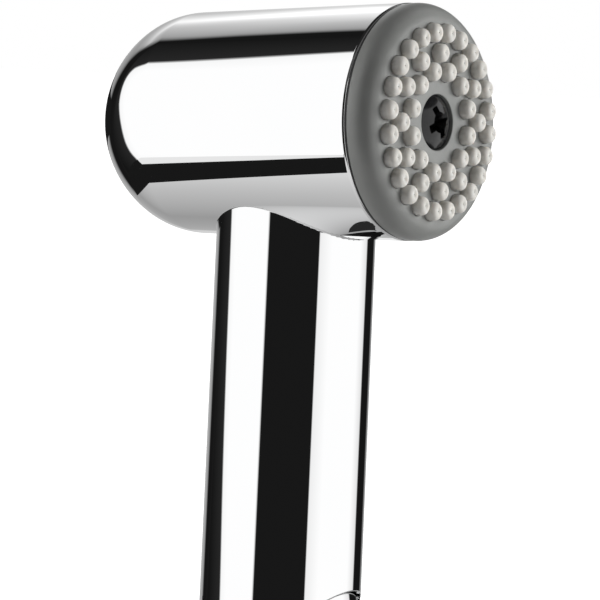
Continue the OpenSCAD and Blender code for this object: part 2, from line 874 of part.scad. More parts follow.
module trigger() {
    color([0.83, 0.84, 0.86])
        difference() {
            union() {
                at_rest()
                    difference() {
                        intersection() {
                            handle_rod(0);
                            trigger_prism(0, 0);
                        }
                        handle_rod(trigger_wall);
                    }
                difference() {
                    at_rest()
                        difference() {
                            intersection() {
                                handle_rod(0);
                                trigger_prism(0, 0);
                            }
                            trigger_prism(-trigger_side, -1);
                        }
                    handle_rod(trigger_lap);
                }
                intersection() {
                    at_rest()
                        intersection() {
                            handle_rod(0);
                            trigger_prism(0, 0);
                        }
                    for (s = [-1, 1])
                        translate([0, s * (ear_in + ear_out) / 2, 0])
                            union() {
                                pivot_rod(ear_r, (ear_out - ear_in) / 2);
                                translate([pivot_x, (ear_in - ear_out) / 2, pivot_z - ear_r])
                                    cube([pivot_surface_r - pivot_x - 1.5, ear_out - ear_in, 2 * ear_r]);
                            }
                }
                intersection() {
                    on_valve_axis()
                        translate([0, 0, stem_tip + slide_gap])
                            cylinder(r = pad_r, h = through);
                    at_rest()
                        handle_rod(trigger_wall / 2);
                }
            }
            pivot_rod(pin_r + pin_gap, through);
        }
}

module trigger_pin() {
    color([0.8, 0.81, 0.83])
        pivot_rod(pin_r, pin_reach);
}

module inlet_nipple() {
    color([0.8, 0.81, 0.83])
        difference() {
            union() {
                cylinder(d = thread_d, h = thread_len);
                translate([0, 0, flange_z])
                    cylinder(r = flange_r, h = flange_t);
                translate([0, 0, flange_z])
                    cylinder(r = spigot_r, h = nipple_top - flange_z);
            }
            translate([0, 0, -1])
                cylinder(d = filter_d, h = filter_seat + 1);
            cylinder(d = inlet_d, h = nipple_top);
            translate([0, 0, nipple_socket_z])
                cylinder(r = socket_r, h = nipple_top);
        }
}

module inlet_filter() {
    mesh_t = 0.6;
    mesh_hole = 1.3;
    mesh_pitch = 1.9;
    rim_w = 1.3;
    filter_r = filter_d / 2 - slip_gap;
    top = filter_seat - seat_gap;
    rows = floor((filter_r - rim_w) / mesh_pitch);
    color([0.85, 0.86, 0.87])
        difference() {
            translate([0, 0, top - filter_h])
                cylinder(r = filter_r, h = filter_h);
            translate([0, 0, top - filter_h - mesh_t])
                cylinder(r = filter_r - rim_w, h = filter_h);
            for (i = [-rows:rows])
                for (j = [-rows:rows])
                    if (norm([i, j]) * mesh_pitch < filter_r - rim_w - mesh_hole / 2)
                        translate([i * mesh_pitch, j * mesh_pitch, 0])
                            cylinder(d = mesh_hole, h = through);
        }
}

module end_collar() {
    collar_out = handle_bottom_d / 2;
    color([0.83, 0.84, 0.86])
        difference() {
            rotate_extrude()
                difference() {
                    translate([0, collar_z])
                        square([collar_out, shell_z - seat_gap - collar_z]);
                    translate([collar_out - collar_round, collar_z + collar_round])
                        difference() {
                            translate([0, -collar_round - 1])
                                square([collar_round + 1, collar_round + 1]);
                            circle(r = collar_round);
                        }
                }
            cylinder(r = flange_r + slip_gap, h = lip_z + seat_gap);
            cylinder(r = spigot_r + slip_gap, h = shell_z + 1);
        }
}

body_shell();
face_gasket();
face_plate();
nozzle_mat();
face_screw();
screw_insert();
diffuser_plate();
spray_chamber();
outlet_tube();
outlet_tube_o_rings();
valve_body();
valve_seat_washer();
valve_stem();
stem_o_ring();
stem_bush();
valve_spring();
valve_cap();
valve_cap_gasket();
trigger();
trigger_pin();
inlet_tube();
inlet_tube_o_rings();
inlet_nipple();
inlet_filter();
end_collar();
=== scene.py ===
# Handheld bath sprayer: finishes, detailed pieces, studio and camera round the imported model.
import math

import bpy
from mathutils import Matrix, Vector


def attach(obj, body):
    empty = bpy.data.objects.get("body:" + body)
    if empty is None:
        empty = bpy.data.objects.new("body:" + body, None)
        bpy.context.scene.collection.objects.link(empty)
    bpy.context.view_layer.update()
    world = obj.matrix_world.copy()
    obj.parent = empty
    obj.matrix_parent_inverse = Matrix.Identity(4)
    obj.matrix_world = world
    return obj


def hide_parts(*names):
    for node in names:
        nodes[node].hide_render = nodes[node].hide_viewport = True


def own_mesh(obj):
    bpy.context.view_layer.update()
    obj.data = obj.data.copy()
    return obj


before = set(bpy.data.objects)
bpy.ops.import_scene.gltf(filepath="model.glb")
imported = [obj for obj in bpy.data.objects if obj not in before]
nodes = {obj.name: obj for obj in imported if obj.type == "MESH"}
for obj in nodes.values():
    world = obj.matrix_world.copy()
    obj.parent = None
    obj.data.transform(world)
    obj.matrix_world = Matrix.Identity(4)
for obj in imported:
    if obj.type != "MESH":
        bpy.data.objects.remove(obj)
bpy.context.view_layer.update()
print("frame loaded:", len(nodes), "nodes")

mm = 0.001
fullTurn = 360

# The head: height of its axis, reach to the seam with the face, and upward tilt in degrees
head = dict(axisZ=175 * mm, reach=23.9 * mm, tilt=3.2)

headTilt = Matrix.Rotation(-math.radians(head["tilt"]), 3, "Y")
seam = Vector((0, 0, head["axisZ"])) + headTilt @ Vector((head["reach"], 0, 0))


def srgb(red, green, blue):  # a colour as a screen shows it, from 0 to 255
    return tuple(((c / 255 + 0.055) / 1.055) ** 2.4 for c in (red, green, blue)) + (1.0,)


def grey(level):
    return (level, level, level, 1)


def setInputs(node, values):  # gives each input a value, or links it from a socket
    for key, value in values.items():
        if isinstance(value, bpy.types.NodeSocket):
            node.id_data.links.new(value, node.inputs[key])
        else:
            node.inputs[key].default_value = value
    return node


def addNode(tree, kind, inputs=None, **values):
    node = tree.nodes.new("ShaderNode" + kind)
    for key, value in values.items():
        setattr(node, key, value)
    return setInputs(node, inputs or {})


def addMath(tree, operation, *terms, clamp=False):
    node = addNode(tree, "Math", dict(enumerate(terms)), operation=operation, use_clamp=clamp)
    return node.outputs[0]


def mapRange(tree, value, first, last, low=0, high=1, kind="LINEAR"):
    return addNode(tree, "MapRange", {
        "Value": value, "From Min": first, "From Max": last, "To Min": low, "To Max": high,
    }, interpolation_type=kind).outputs[0]


# A mix node takes two numbers at its inputs 2 and 3, and two colours at 6 and 7
def mixNumbers(tree, share, first, second):
    return addNode(tree, "Mix", {"Factor": share, 2: first, 3: second}, data_type="FLOAT").outputs[0]


def mixColors(tree, share, first, second):
    return addNode(tree, "Mix", {"Factor": share, 6: first, 7: second}, data_type="RGBA").outputs[2]


def addNoise(tree, spot, scale, detail, roughness):
    return addNode(tree, "TexNoise", {
        "Vector": spot, "Scale": scale, "Detail": detail, "Roughness": roughness,
    }).outputs["Fac"]


def objectSpot(tree):
    return addNode(tree, "TexCoord").outputs["Object"]


def newGroup(name, inputs):  # with the inputs' first values; colours are the ones that aren't a number
    group = bpy.data.node_groups.new(name, "ShaderNodeTree")
    for label, value in inputs.items():
        kind = "NodeSocketFloat" if isinstance(value, float) else "NodeSocketColor"
        socket = group.interface.new_socket(name=label, in_out="INPUT", socket_type=kind)
        socket.default_value = value
    return group, group.nodes.new("NodeGroupInput").outputs


def putOut(group, results):
    for label, result in results.items():
        kind = "NodeSocketColor" if result.type == "RGBA" else "NodeSocketFloat"
        group.interface.new_socket(name=label, in_out="OUTPUT", socket_type=kind)
    setInputs(group.nodes.new("NodeGroupOutput"), results)
    return group


# Slow drift between two tones of one colour
def makeToneDrift():
    group, put = newGroup("toneDrift", {
        "Tone": grey(0.5), "Other Tone": grey(0.4), "Scale": 300.0, "Contrast": 1.0,
    })
    noise = addNoise(group, objectSpot(group), put["Scale"], detail=3.0, roughness=0.55)
    centred = addMath(group, "SUBTRACT", noise, 0.5)
    spread = addMath(group, "MULTIPLY_ADD", centred, put["Contrast"], 0.5, clamp=True)
    return putOut(group, {"Color": mixColors(group, spread, put["Tone"], put["Other Tone"])})


# Fine moulded or cast grain, as a height in metres and as a mask
def makeGrain():
    group, put = newGroup("grain", {"Scale": 3000.0, "Depth": 0.00001, "Softness": 0.5})
    noise = addNoise(group, objectSpot(group), put["Scale"], detail=4.0, roughness=put["Softness"])
    return putOut(group, {"Height": addMath(group, "MULTIPLY", noise, put["Depth"]), "Mask": noise})


# Where hands and cloths have been: soft smudges and thin streaks that turn a surface less glossy
def makeHandling():
    group, put = newGroup("handling", {
        "Clean Roughness": 0.03, "Worn Roughness": 0.08, "Smudge Scale": 90.0, "Streak Scale": 900.0,
    })
    spot = objectSpot(group)
    stretched = addNode(group, "Mapping", {"Vector": spot, "Scale": (1.0, 1.0, 0.06)}).outputs["Vector"]
    smudge = addNoise(group, spot, put["Smudge Scale"], detail=5.0, roughness=0.6)
    streak = addNoise(group, stretched, put["Streak Scale"], detail=2.0, roughness=0.5)
    smudgeMask = mapRange(group, smudge, 0.5, 0.72, kind="SMOOTHSTEP")
    streakMask = mapRange(group, streak, 0.6, 0.75, high=0.35, kind="SMOOTHSTEP")
    both = addMath(group, "ADD", smudgeMask, streakMask, clamp=True)
    roughness = mixNumbers(group, both, put["Clean Roughness"], put["Worn Roughness"])
    return putOut(group, {"Roughness": roughness})


toneDrift = makeToneDrift()
grain = makeGrain()
handling = makeHandling()


def placeGroup(tree, group, values):
    return addNode(tree, "Group", values, node_tree=group).outputs


def newMaterial(name, finish, contrast, values):
    material = bpy.data.materials.new(name)
    material.use_nodes = True
    tree = material.node_tree
    tone = placeGroup(tree, toneDrift, {
        "Tone": finish["tone"], "Other Tone": finish["otherTone"],
        "Scale": finish["driftScale"], "Contrast": contrast,
    })
    values = {"Base Color": tone["Color"], **values}
    return material, tree, setInputs(tree.nodes["Principled BSDF"], values)


def addGrain(tree, shader, finish, softness):  # as a bump; returns its mask
    fine = placeGroup(tree, grain, {
        "Scale": finish["grainScale"], "Depth": finish["grainDepth"], "Softness": softness,
    })
    bump = addNode(tree, "Bump", {"Strength": 1.0, "Distance": 1.0, "Height": fine["Height"]})
    setInputs(shader, {"Normal": bump.outputs["Normal"]})
    return fine["Mask"]


def plainMetal(name, finish):
    material, tree, shader = newMaterial(name, finish, 1.6, {"Metallic": 1.0})
    marks = placeGroup(tree, handling, {
        "Clean Roughness": finish["clean"], "Worn Roughness": finish["worn"],
        "Smudge Scale": finish["smudgeScale"], "Streak Scale": finish["streakScale"],
    })
    setInputs(shader, {"Roughness": marks["Roughness"]})
    if "grainDepth" in finish:
        addGrain(tree, shader, finish, 0.5)
    return material


def mouldedPlastic(name, finish):
    material, tree, shader = newMaterial(name, finish, 2.0, finish.get("shader", {}))
    mask = addGrain(tree, shader, finish, 0.6)
    setInputs(shader, {"Roughness": mapRange(tree, mask, 0, 1, finish["gloss"], finish["matt"])})
    return material


metals = dict(
    polishedChrome=dict(
        tone=(0.985, 0.988, 0.992, 1), otherTone=(0.993, 0.993, 0.995, 1), driftScale=60.0,
        clean=0.003, worn=0.02, smudgeScale=70.0, streakScale=1500.0,
    ),
    castBrass=dict(
        tone=(0.76, 0.58, 0.29, 1), otherTone=(0.68, 0.50, 0.24, 1), driftScale=260.0,
        clean=0.24, worn=0.42, smudgeScale=300.0, streakScale=2500.0, grainScale=2600.0, grainDepth=0.000012,
    ),
    stainlessSteel=dict(
        tone=(0.62, 0.62, 0.61, 1), otherTone=(0.55, 0.555, 0.56, 1), driftScale=400.0,
        clean=0.16, worn=0.3, smudgeScale=300.0, streakScale=4000.0, grainScale=5000.0, grainDepth=0.000004,
    ),
)
plastics = dict(
    greyPlastic=dict(
        tone=srgb(126, 127, 125), otherTone=srgb(120, 121, 119), driftScale=170.0,
        gloss=0.28, matt=0.38, grainScale=5200.0, grainDepth=0.000006,
    ),
    nozzleSilicone=dict(
        tone=srgb(198, 196, 191), otherTone=srgb(189, 187, 182), driftScale=420.0,
        gloss=0.42, matt=0.62, grainScale=2600.0, grainDepth=0.00003,
        shader={"Subsurface Weight": 0.5, "Subsurface Radius": (1.0, 0.9, 0.8), "Subsurface Scale": 0.0012},
    ),
    whitePlastic=dict(
        tone=srgb(232, 231, 224), otherTone=srgb(222, 221, 214), driftScale=120.0,
        gloss=0.3, matt=0.42, grainScale=3000.0, grainDepth=0.000008,
    ),
    blackRubber=dict(
        tone=srgb(22, 22, 23), otherTone=srgb(30, 30, 30), driftScale=500.0,
        gloss=0.45, matt=0.65, grainScale=4200.0, grainDepth=0.000008,
    ),
    blackScrew=dict(
        tone=srgb(14, 14, 15), otherTone=srgb(21, 21, 22), driftScale=700.0,
        gloss=0.1, matt=0.2, grainScale=3400.0, grainDepth=0.000004,
        shader={"Specular IOR Level": 0.35, "Coat Weight": 0.3, "Coat Roughness": 0.06},
    ),
)
materials = {name: plainMetal(name, finish) for name, finish in metals.items()}
materials.update((name, mouldedPlastic(name, finish)) for name, finish in plastics.items())
print("materials made:", len(materials))

nodeFinish = dict(
    polishedChrome=["body_shell", "trigger", "end_collar", "inlet_nipple"],
    greyPlastic=["face_plate"],
    nozzleSilicone=["nozzle_mat"],
    blackScrew=["face_screw"],
    castBrass=["screw_insert", "valve_body", "valve_cap", "stem_bush"],
    whitePlastic=["diffuser_plate", "spray_chamber", "outlet_tube", "inlet_tube"],
    blackRubber=[
        "face_gasket", "outlet_tube_o_rings", "inlet_tube_o_rings", "stem_o_ring",
        "valve_seat_washer", "valve_cap_gasket",
    ],
    stainlessSteel=["valve_stem", "valve_spring", "trigger_pin", "inlet_filter"],
)


def paint(piece, finish):
    piece.data.materials.clear()
    piece.data.materials.append(materials[finish])


for finish, names in nodeFinish.items():
    for name in names:
        paint(nodes[name], finish)
print("finishes given to the packed nodes")


# Modelling: outlines and sizes are in mm, and meshes in metres
samePoint = 0.0005  # points nearer than this are joined
hairCrack = 0.002  # gaps up to this are closed
surfaceTolerance = 0.02  # a vertex this far off a surface still counts as on it
edgeTolerance = 0.05  # and an edge this far off it
sharpAngle = 30  # least angle between the faces of an edge that is softened, in degrees
rodSteps = 48
# Least cosine between a true normal and the normal of its face, or of its corner
faceMatch = 0.97
cornerMatch = 0.8


def addObject(name, data):
    thing = bpy.data.objects.new(name, data)
    bpy.context.scene.collection.objects.link(thing)
    return thing


def deselectAll():
    if bpy.context.object and bpy.context.object.mode != "OBJECT":
        bpy.ops.object.mode_set(mode="OBJECT")
    bpy.ops.object.select_all(action="DESELECT")


def newPiece(name, shape, **sizes):
    deselectAll()
    getattr(bpy.ops.mesh, "primitive_" + shape + "_add")(**sizes)
    piece = bpy.context.object
    piece.name = name
    return piece


def activate(piece):
    deselectAll()
    piece.select_set(True)
    bpy.context.view_layer.objects.active = piece


def editAll():  # goes into edit mode with every vertex selected
    bpy.context.tool_settings.mesh_select_mode = (True, False, False)
    bpy.ops.object.mode_set(mode="EDIT")
    bpy.ops.mesh.select_all(action="SELECT")


def editEdges(piece, chosen):  # goes into edit mode with only the chosen edges selected
    activate(piece)
    mesh = piece.data
    bpy.context.tool_settings.mesh_select_mode = (False, True, False)
    for parts in (mesh.vertices, mesh.edges, mesh.polygons):
        parts.foreach_set("select", [False] * len(parts))
    for edge in mesh.edges:
        edge.select = chosen(edge)
    bpy.ops.object.mode_set(mode="EDIT")


def inOrder(piece):  # gives the points and faces one fixed order, so that each run makes the same mesh
    mesh = piece.data
    order = sorted(range(len(mesh.vertices)), key=lambda index: tuple(mesh.vertices[index].co))
    rank = {index: place for place, index in enumerate(order)}
    points = [mesh.vertices[index].co.copy() for index in order]
    faces = []
    for face in mesh.polygons:
        corners = [rank[index] for index in face.vertices]
        first = corners.index(min(corners))
        faces.append(corners[first:] + corners[:first])
    mesh.clear_geometry()
    mesh.from_pydata(points, [], sorted(faces))


def faceOutwards():  # turns every face outwards and leaves edit mode
    bpy.ops.mesh.select_all(action="SELECT")
    bpy.ops.mesh.normals_make_consistent(inside=False)
    bpy.ops.object.mode_set(mode="OBJECT")
    inOrder(bpy.context.object)


def closeUp():  # joins the points that meet, then turns every face outwards
    bpy.ops.mesh.select_all(action="SELECT")
    bpy.ops.mesh.remove_doubles(threshold=samePoint * mm)
    faceOutwards()


def applyModifier(piece, kind, **values):
    activate(piece)
    bpy.ops.object.modifier_add(type=kind)
    modifier = piece.modifiers[-1]
    for key, value in values.items():
        setattr(modifier, key, value)
    bpy.ops.object.modifier_apply(modifier=modifier.name)


def combine(piece, operation, *others):  # uses the other pieces up
    for other in others:
        applyModifier(piece, "BOOLEAN", object=other, operation=operation, solver="EXACT")
        inOrder(piece)
        bpy.data.objects.remove(other)
    return piece


def weld(piece):  # closes the hair cracks that cuts leave, and takes out stray slivers
    inOrder(piece)
    activate(piece)
    editAll()
    bpy.ops.mesh.remove_doubles(threshold=hairCrack * mm)
    bpy.ops.mesh.dissolve_degenerate(threshold=hairCrack * mm / 4)
    bpy.ops.mesh.select_all(action="SELECT")
    bpy.ops.mesh.delete_loose(use_verts=True, use_edges=True, use_faces=True)
    bpy.ops.object.mode_set(mode="OBJECT")
    inOrder(piece)


def copyOf(piece):
    return addObject("copy", piece.data.copy())


def joined(pieces):
    activate(pieces[0])
    for piece in pieces:
        piece.select_set(True)
    bpy.ops.object.join()
    return bpy.context.object


def placed(piece, matrix):
    piece.matrix_world = matrix @ piece.matrix_world
    activate(piece)
    bpy.ops.object.transform_apply(location=True, rotation=True, scale=True)
    return piece


def arc(centre, radius, start, end, count):  # points of an arc, angles in degrees
    turns = [math.radians(start + (end - start) * i / count) for i in range(count + 1)]
    return [(centre[0] + radius * math.cos(t), centre[1] + radius * math.sin(t)) for t in turns]


def eased(corners, count=4):  # an outline of (x, y, rounding) corners, with each corner rounded
    points = []
    for i, (x, y, rounding) in enumerate(corners):
        if not rounding:
            points.append((x, y))
            continue
        here = Vector((x, y))
        before = (Vector(corners[i - 1][:2]) - here).normalized()
        after = (Vector(corners[(i + 1) % len(corners)][:2]) - here).normalized()
        half = before.angle(after) / 2
        middle = here + (before + after).normalized() * rounding / math.sin(half)
        first = here + before * rounding / math.tan(half) - middle
        sweep = first.angle_signed(here + after * rounding / math.tan(half) - middle)
        for step in range(count + 1):
            spoke = first.copy()
            spoke.rotate(Matrix.Rotation(-sweep * step / count, 2))
            points.append(tuple(middle + spoke))
    return points


def turned(name, outline, steps, turn=0.0):  # an outline of (radius, height) points, spun about Z
    piece = newPiece(name, "plane", size=mm)
    path = [Vector((radius, 0, height)) * mm for radius, height in outline]
    editAll()
    bpy.ops.mesh.merge(type="CENTER")
    bpy.ops.transform.translate(value=path[0])
    for here, there in zip(path, path[1:]):
        bpy.ops.mesh.extrude_vertices_move(TRANSFORM_OT_translate={"value": there - here})
    bpy.ops.mesh.select_all(action="SELECT")
    bpy.ops.mesh.spin(steps=steps, angle=2 * math.pi, center=(0, 0, 0), axis=(0, 0, 1))
    closeUp()
    return placed(piece, Matrix.Rotation(math.radians(turn), 4, "Z"))


def cone(name, low, high, steps, turn=0.0):  # between two (radius, height) ends
    return turned(name, [(0, low[1]), low, high, (0, high[1])], steps, turn)


def prism(name, outline, start, end):  # an outline of (y, z) points, drawn along X
    piece = newPiece(name, "circle", vertices=len(outline), radius=mm, fill_type="NGON")
    for vertex, (y, z) in zip(piece.data.vertices, outline):
        vertex.co = Vector((start, y, z)) * mm
    editAll()
    bpy.ops.mesh.extrude_region_move(TRANSFORM_OT_translate={"value": ((end - start) * mm, 0, 0)})
    closeUp()
    return piece


def crossRod(radius, x, z, start, end):  # a rod along Y
    return newPiece(
        "rod", "cylinder", vertices=rodSteps, radius=radius * mm, depth=(end - start) * mm,
        location=(x * mm, (start + end) / 2 * mm, z * mm), rotation=(math.pi / 2, 0, 0),
    )


def block(low, high):
    middle = [(a + b) / 2 * mm for a, b in zip(low, high)]
    return newPiece("block", "cube", size=1, location=middle, scale=[(b - a) * mm for a, b in zip(low, high)])


# True normals of turned surfaces, so that polished metal shows no facets
def coneSurface(place, radius, slope, low, high):
    toLocal = place.inverted()

    def normalAt(point):
        spot = toLocal @ point / mm
        across = math.hypot(spot.x, spot.y)
        off = abs(across - radius - slope * spot.z)
        if off > surfaceTolerance or not low - surfaceTolerance < spot.z < high + surfaceTolerance:
            return None
        return (place.to_3x3() @ Vector((spot.x, spot.y, -slope * across))).normalized()

    return normalAt


def ringSurface(place, centre, radius):
    toLocal = place.inverted()

    def normalAt(point):
        spot = toLocal @ point / mm
        across = math.hypot(spot.x, spot.y)
        out = Vector((across - centre[0], spot.z - centre[1]))
        if abs(out.length - radius) > surfaceTolerance:
            return None
        share = out.x / max(across, surfaceTolerance)
        return (place.to_3x3() @ Vector((spot.x * share, spot.y * share, out.y))).normalized()

    return normalAt


def trueNormals(piece, surfaces):
    mesh = piece.data
    found = [[surface(vertex.co) for surface in surfaces] for vertex in mesh.vertices]
    normals = [corner.vector.copy() for corner in mesh.corner_normals]
    for face in mesh.polygons:
        corners = [found[index] for index in face.vertices]
        on = [
            k for k in range(len(surfaces))
            if all(corner[k] and corner[k].dot(face.normal) > faceMatch for corner in corners)
        ]
        for loop, corner in zip(face.loop_indices, corners):
            near = [normal for normal in corner if normal and normal.dot(normals[loop]) > cornerMatch]
            if on:
                normals[loop] = corner[on[0]]
            elif near:
                normals[loop] = near[0]
    mesh.normals_split_custom_set(normals)


def finishPiece(piece, name, rides, slot, finish, *stoodFor, angle=35):
    weld(piece)
    activate(piece)
    bpy.ops.object.shade_smooth_by_angle(angle=math.radians(angle))
    piece.name = name
    piece.data.name = name
    paint(piece, finish)
    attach(piece, rides)
    if stoodFor:
        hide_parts(*stoodFor)
    print("made", name, "with", len(piece.data.polygons), "faces")
    return piece


headPlace = (
    Matrix.Translation((0, 0, head["axisZ"]))
    @ Matrix.Rotation(math.radians(90 - head["tilt"]), 4, "Y")
    @ Matrix.Translation((0, 0, head["reach"]))
)
upright = Matrix.Identity(4)


# The polished body: head, domed rear and handle in one shell
shell = dict(
    headRadius=20, headWall=2.2, straight=44.5, domeDepth=18.8, knuckle=16.92, frontEdge=0.5, headSteps=148,
    noseSteps=28, knuckleSteps=12, edgeSteps=8, overcut=1, topRadius=13.95, lowRadius=15.1, lowEnd=14,
    topEnd=175, lowEdge=0.25, handleSteps=72, lowBore=12.1, shoulder=78.5, highBore=11, windowStart=2.5,
    windowEnd=40, windowGap=0.35, windowLift=1.03, windowBelow=2, windowAbove=3, windowFront=5,
    windowEdge=0.25, windowSegments=3, neckEdge=0.3, neckSegments=4, neckLow=140, pinHole=1.55,
)
shellSlope = (shell["topRadius"] - shell["lowRadius"]) / (shell["topEnd"] - shell["lowEnd"])
handleTurn = 180 / shell["handleSteps"]


def handleRadius(z):
    return shell["lowRadius"] + shellSlope * (z - shell["lowEnd"])


def onHandle(spot):
    return abs(math.hypot(spot.x, spot.y) - handleRadius(spot.z)) < edgeTolerance


def handleRod(inset, low, high):
    ends = [(handleRadius(z) - inset, z) for z in (low, high)]
    return cone("handle rod", *ends, shell["handleSteps"], handleTurn)


def domeCurves():  # centre, radius, first and last angle of the two arcs of the domed rear
    offset = shell["headRadius"] - shell["knuckle"]
    depth = shell["domeDepth"]
    nose = (depth ** 2 + offset ** 2 - shell["knuckle"] ** 2) / (2 * (depth - shell["knuckle"]))
    noseZ = nose - depth - shell["straight"]
    lean = math.degrees(math.atan2(-shell["straight"] - noseZ, offset))
    return ((0, noseZ), nose, -90, lean), ((offset, -shell["straight"]), shell["knuckle"], lean, 0)


def headOutline(inset, front, edge):
    nose, knuckle = domeCurves()
    radius = shell["headRadius"] - inset
    points = arc(nose[0], nose[1] - inset, *nose[2:], shell["noseSteps"])
    points += arc(knuckle[0], knuckle[1] - inset, *knuckle[2:], shell["knuckleSteps"])[1:]
    if edge:
        points += arc((radius - edge, front - edge), edge, 0, 90, shell["edgeSteps"])
    else:
        points.append((radius, front))
    return points + [(0, front)]


# The lever, with its sizes where it lies pressed flush with the handle
lever = dict(
    top=91.9, length=54.5, width=19.6, topArch=14, topCorner=3, lowArch=11, lowCorner=6,
    cornerSteps=8, archSteps=24, wall=2.2, side=1.8, lap=1.4, travel=9, pivotX=7.5, pivotZ=85.5, pinHole=1.56,
    pinCut=30, earRadius=4.2, earIn=6.9, earOut=9.2, earReach=5.6, padRadius=3.2, padLength=9, padStart=12.2,
    padZ=69.5, padCover=1.1, padSteps=48, edge=0.3, edgeSegments=3, hollowStart=-2, end=40, front=5,
    # how far the tools that cut it go past it
    below=3, above=4, hollowPast=10, wallPast=2,
)


# An arched end, from its right side over to its left, about the arch's centre
def leverEnd(arch, corner, grow):
    side = lever["width"] / 2 - corner
    rise = math.sqrt((arch - corner) ** 2 - side ** 2)
    turn = 90 - math.degrees(math.atan2(side, rise))
    points = arc((side, rise), corner + grow, 0, turn, lever["cornerSteps"])
    points += arc((0, 0), arch + grow, turn, 180 - turn, lever["archSteps"])[1:-1]
    return points + arc((-side, rise), corner + grow, 180 - turn, 180, lever["cornerSteps"])


def leverOutline(grow=0.0, lift=0.0):
    topZ = lever["top"] + lift - lever["topArch"]
    lowZ = lever["top"] - lever["length"] + lever["lowArch"]
    top = [(y, z + topZ) for y, z in leverEnd(lever["topArch"], lever["topCorner"], grow)]
    low = [(-y, lowZ - z) for y, z in leverEnd(lever["lowArch"], lever["lowCorner"], grow)]
    return top + low


def leverSpan(below, above):  # heights from below the lever to above it
    return lever["top"] - lever["length"] - below, lever["top"] + above


def pinHole(radius):
    return crossRod(radius, lever["pivotX"], lever["pivotZ"], -lever["pinCut"], lever["pinCut"])


def sharpEdges(mesh):
    faces = {}
    for face in mesh.polygons:
        for key in face.edge_keys:
            faces.setdefault(key, []).append(face.normal.copy())
    limit = math.cos(math.radians(sharpAngle))
    return {key for key, sides in faces.items() if len(sides) == 2 and sides[0].dot(sides[1]) < limit}


def softenEdges(piece, width, segments, chosen):  # rounds the sharp edges whose middle the test picks
    inOrder(piece)
    mesh = piece.data
    sharp = sharpEdges(mesh)

    def picked(edge):
        first, second = edge.vertices
        if tuple(sorted((first, second))) not in sharp:
            return False
        return chosen((mesh.vertices[first].co + mesh.vertices[second].co) / 2 / mm)

    editEdges(piece, picked)
    bpy.ops.mesh.bevel(offset=width * mm, segments=segments, affect="EDGES", clamp_overlap=False)
    bpy.ops.object.mode_set(mode="OBJECT")


def makeShell():
    s = shell
    piece = turned("head blank", headOutline(0, 0, s["frontEdge"]), s["headSteps"])
    placed(piece, headPlace)
    edgeTop = s["lowEnd"] + s["lowEdge"]
    rod = turned("handle blank", [
        (0, s["lowEnd"]), (s["lowRadius"] - s["lowEdge"], s["lowEnd"]), (handleRadius(edgeTop), edgeTop),
        (s["topRadius"], s["topEnd"]), (0, s["topEnd"]),
    ], s["handleSteps"], handleTurn)
    combine(piece, "UNION", rod)
    bore = turned("head bore", headOutline(s["headWall"], s["overcut"], 0), s["headSteps"])
    placed(bore, headPlace)
    low = s["lowEnd"] - s["overcut"]
    bores = turned("handle bores", [
        (0, low), (s["lowBore"], low), (s["lowBore"], s["shoulder"]), (s["highBore"], s["shoulder"]),
        (s["highBore"], s["topEnd"]), (0, s["topEnd"]),
    ], s["handleSteps"])
    windowOutline = leverOutline(s["windowGap"], s["windowLift"])
    window = prism("window", windowOutline, s["windowStart"], s["windowEnd"])
    combine(piece, "DIFFERENCE", bore, bores, window)
    combine(piece, "DIFFERENCE", pinHole(s["pinHole"]))
    windowLow, windowHigh = leverSpan(s["windowBelow"], s["windowAbove"])

    def atWindow(spot):
        return windowLow < spot.z < windowHigh and spot.x > s["windowFront"] and onHandle(spot)

    def atNeck(spot):
        return spot.z > s["neckLow"] and onHandle(spot)

    softenEdges(piece, s["windowEdge"], s["windowSegments"], atWindow)
    softenEdges(piece, s["neckEdge"], s["neckSegments"], atNeck)
    finishPiece(piece, "polished_body", "handset", "polished_chrome", "polishedChrome", "body_shell")
    edge = s["frontEdge"]
    trueNormals(piece, [ringSurface(headPlace, curve[0], curve[1]) for curve in domeCurves()] + [
        coneSurface(headPlace, s["headRadius"], 0, -s["straight"], -edge),
        ringSurface(headPlace, (s["headRadius"] - edge, -edge), edge),
        coneSurface(upright, handleRadius(0), shellSlope, s["lowEnd"], s["topEnd"]),
    ])


makeShell()


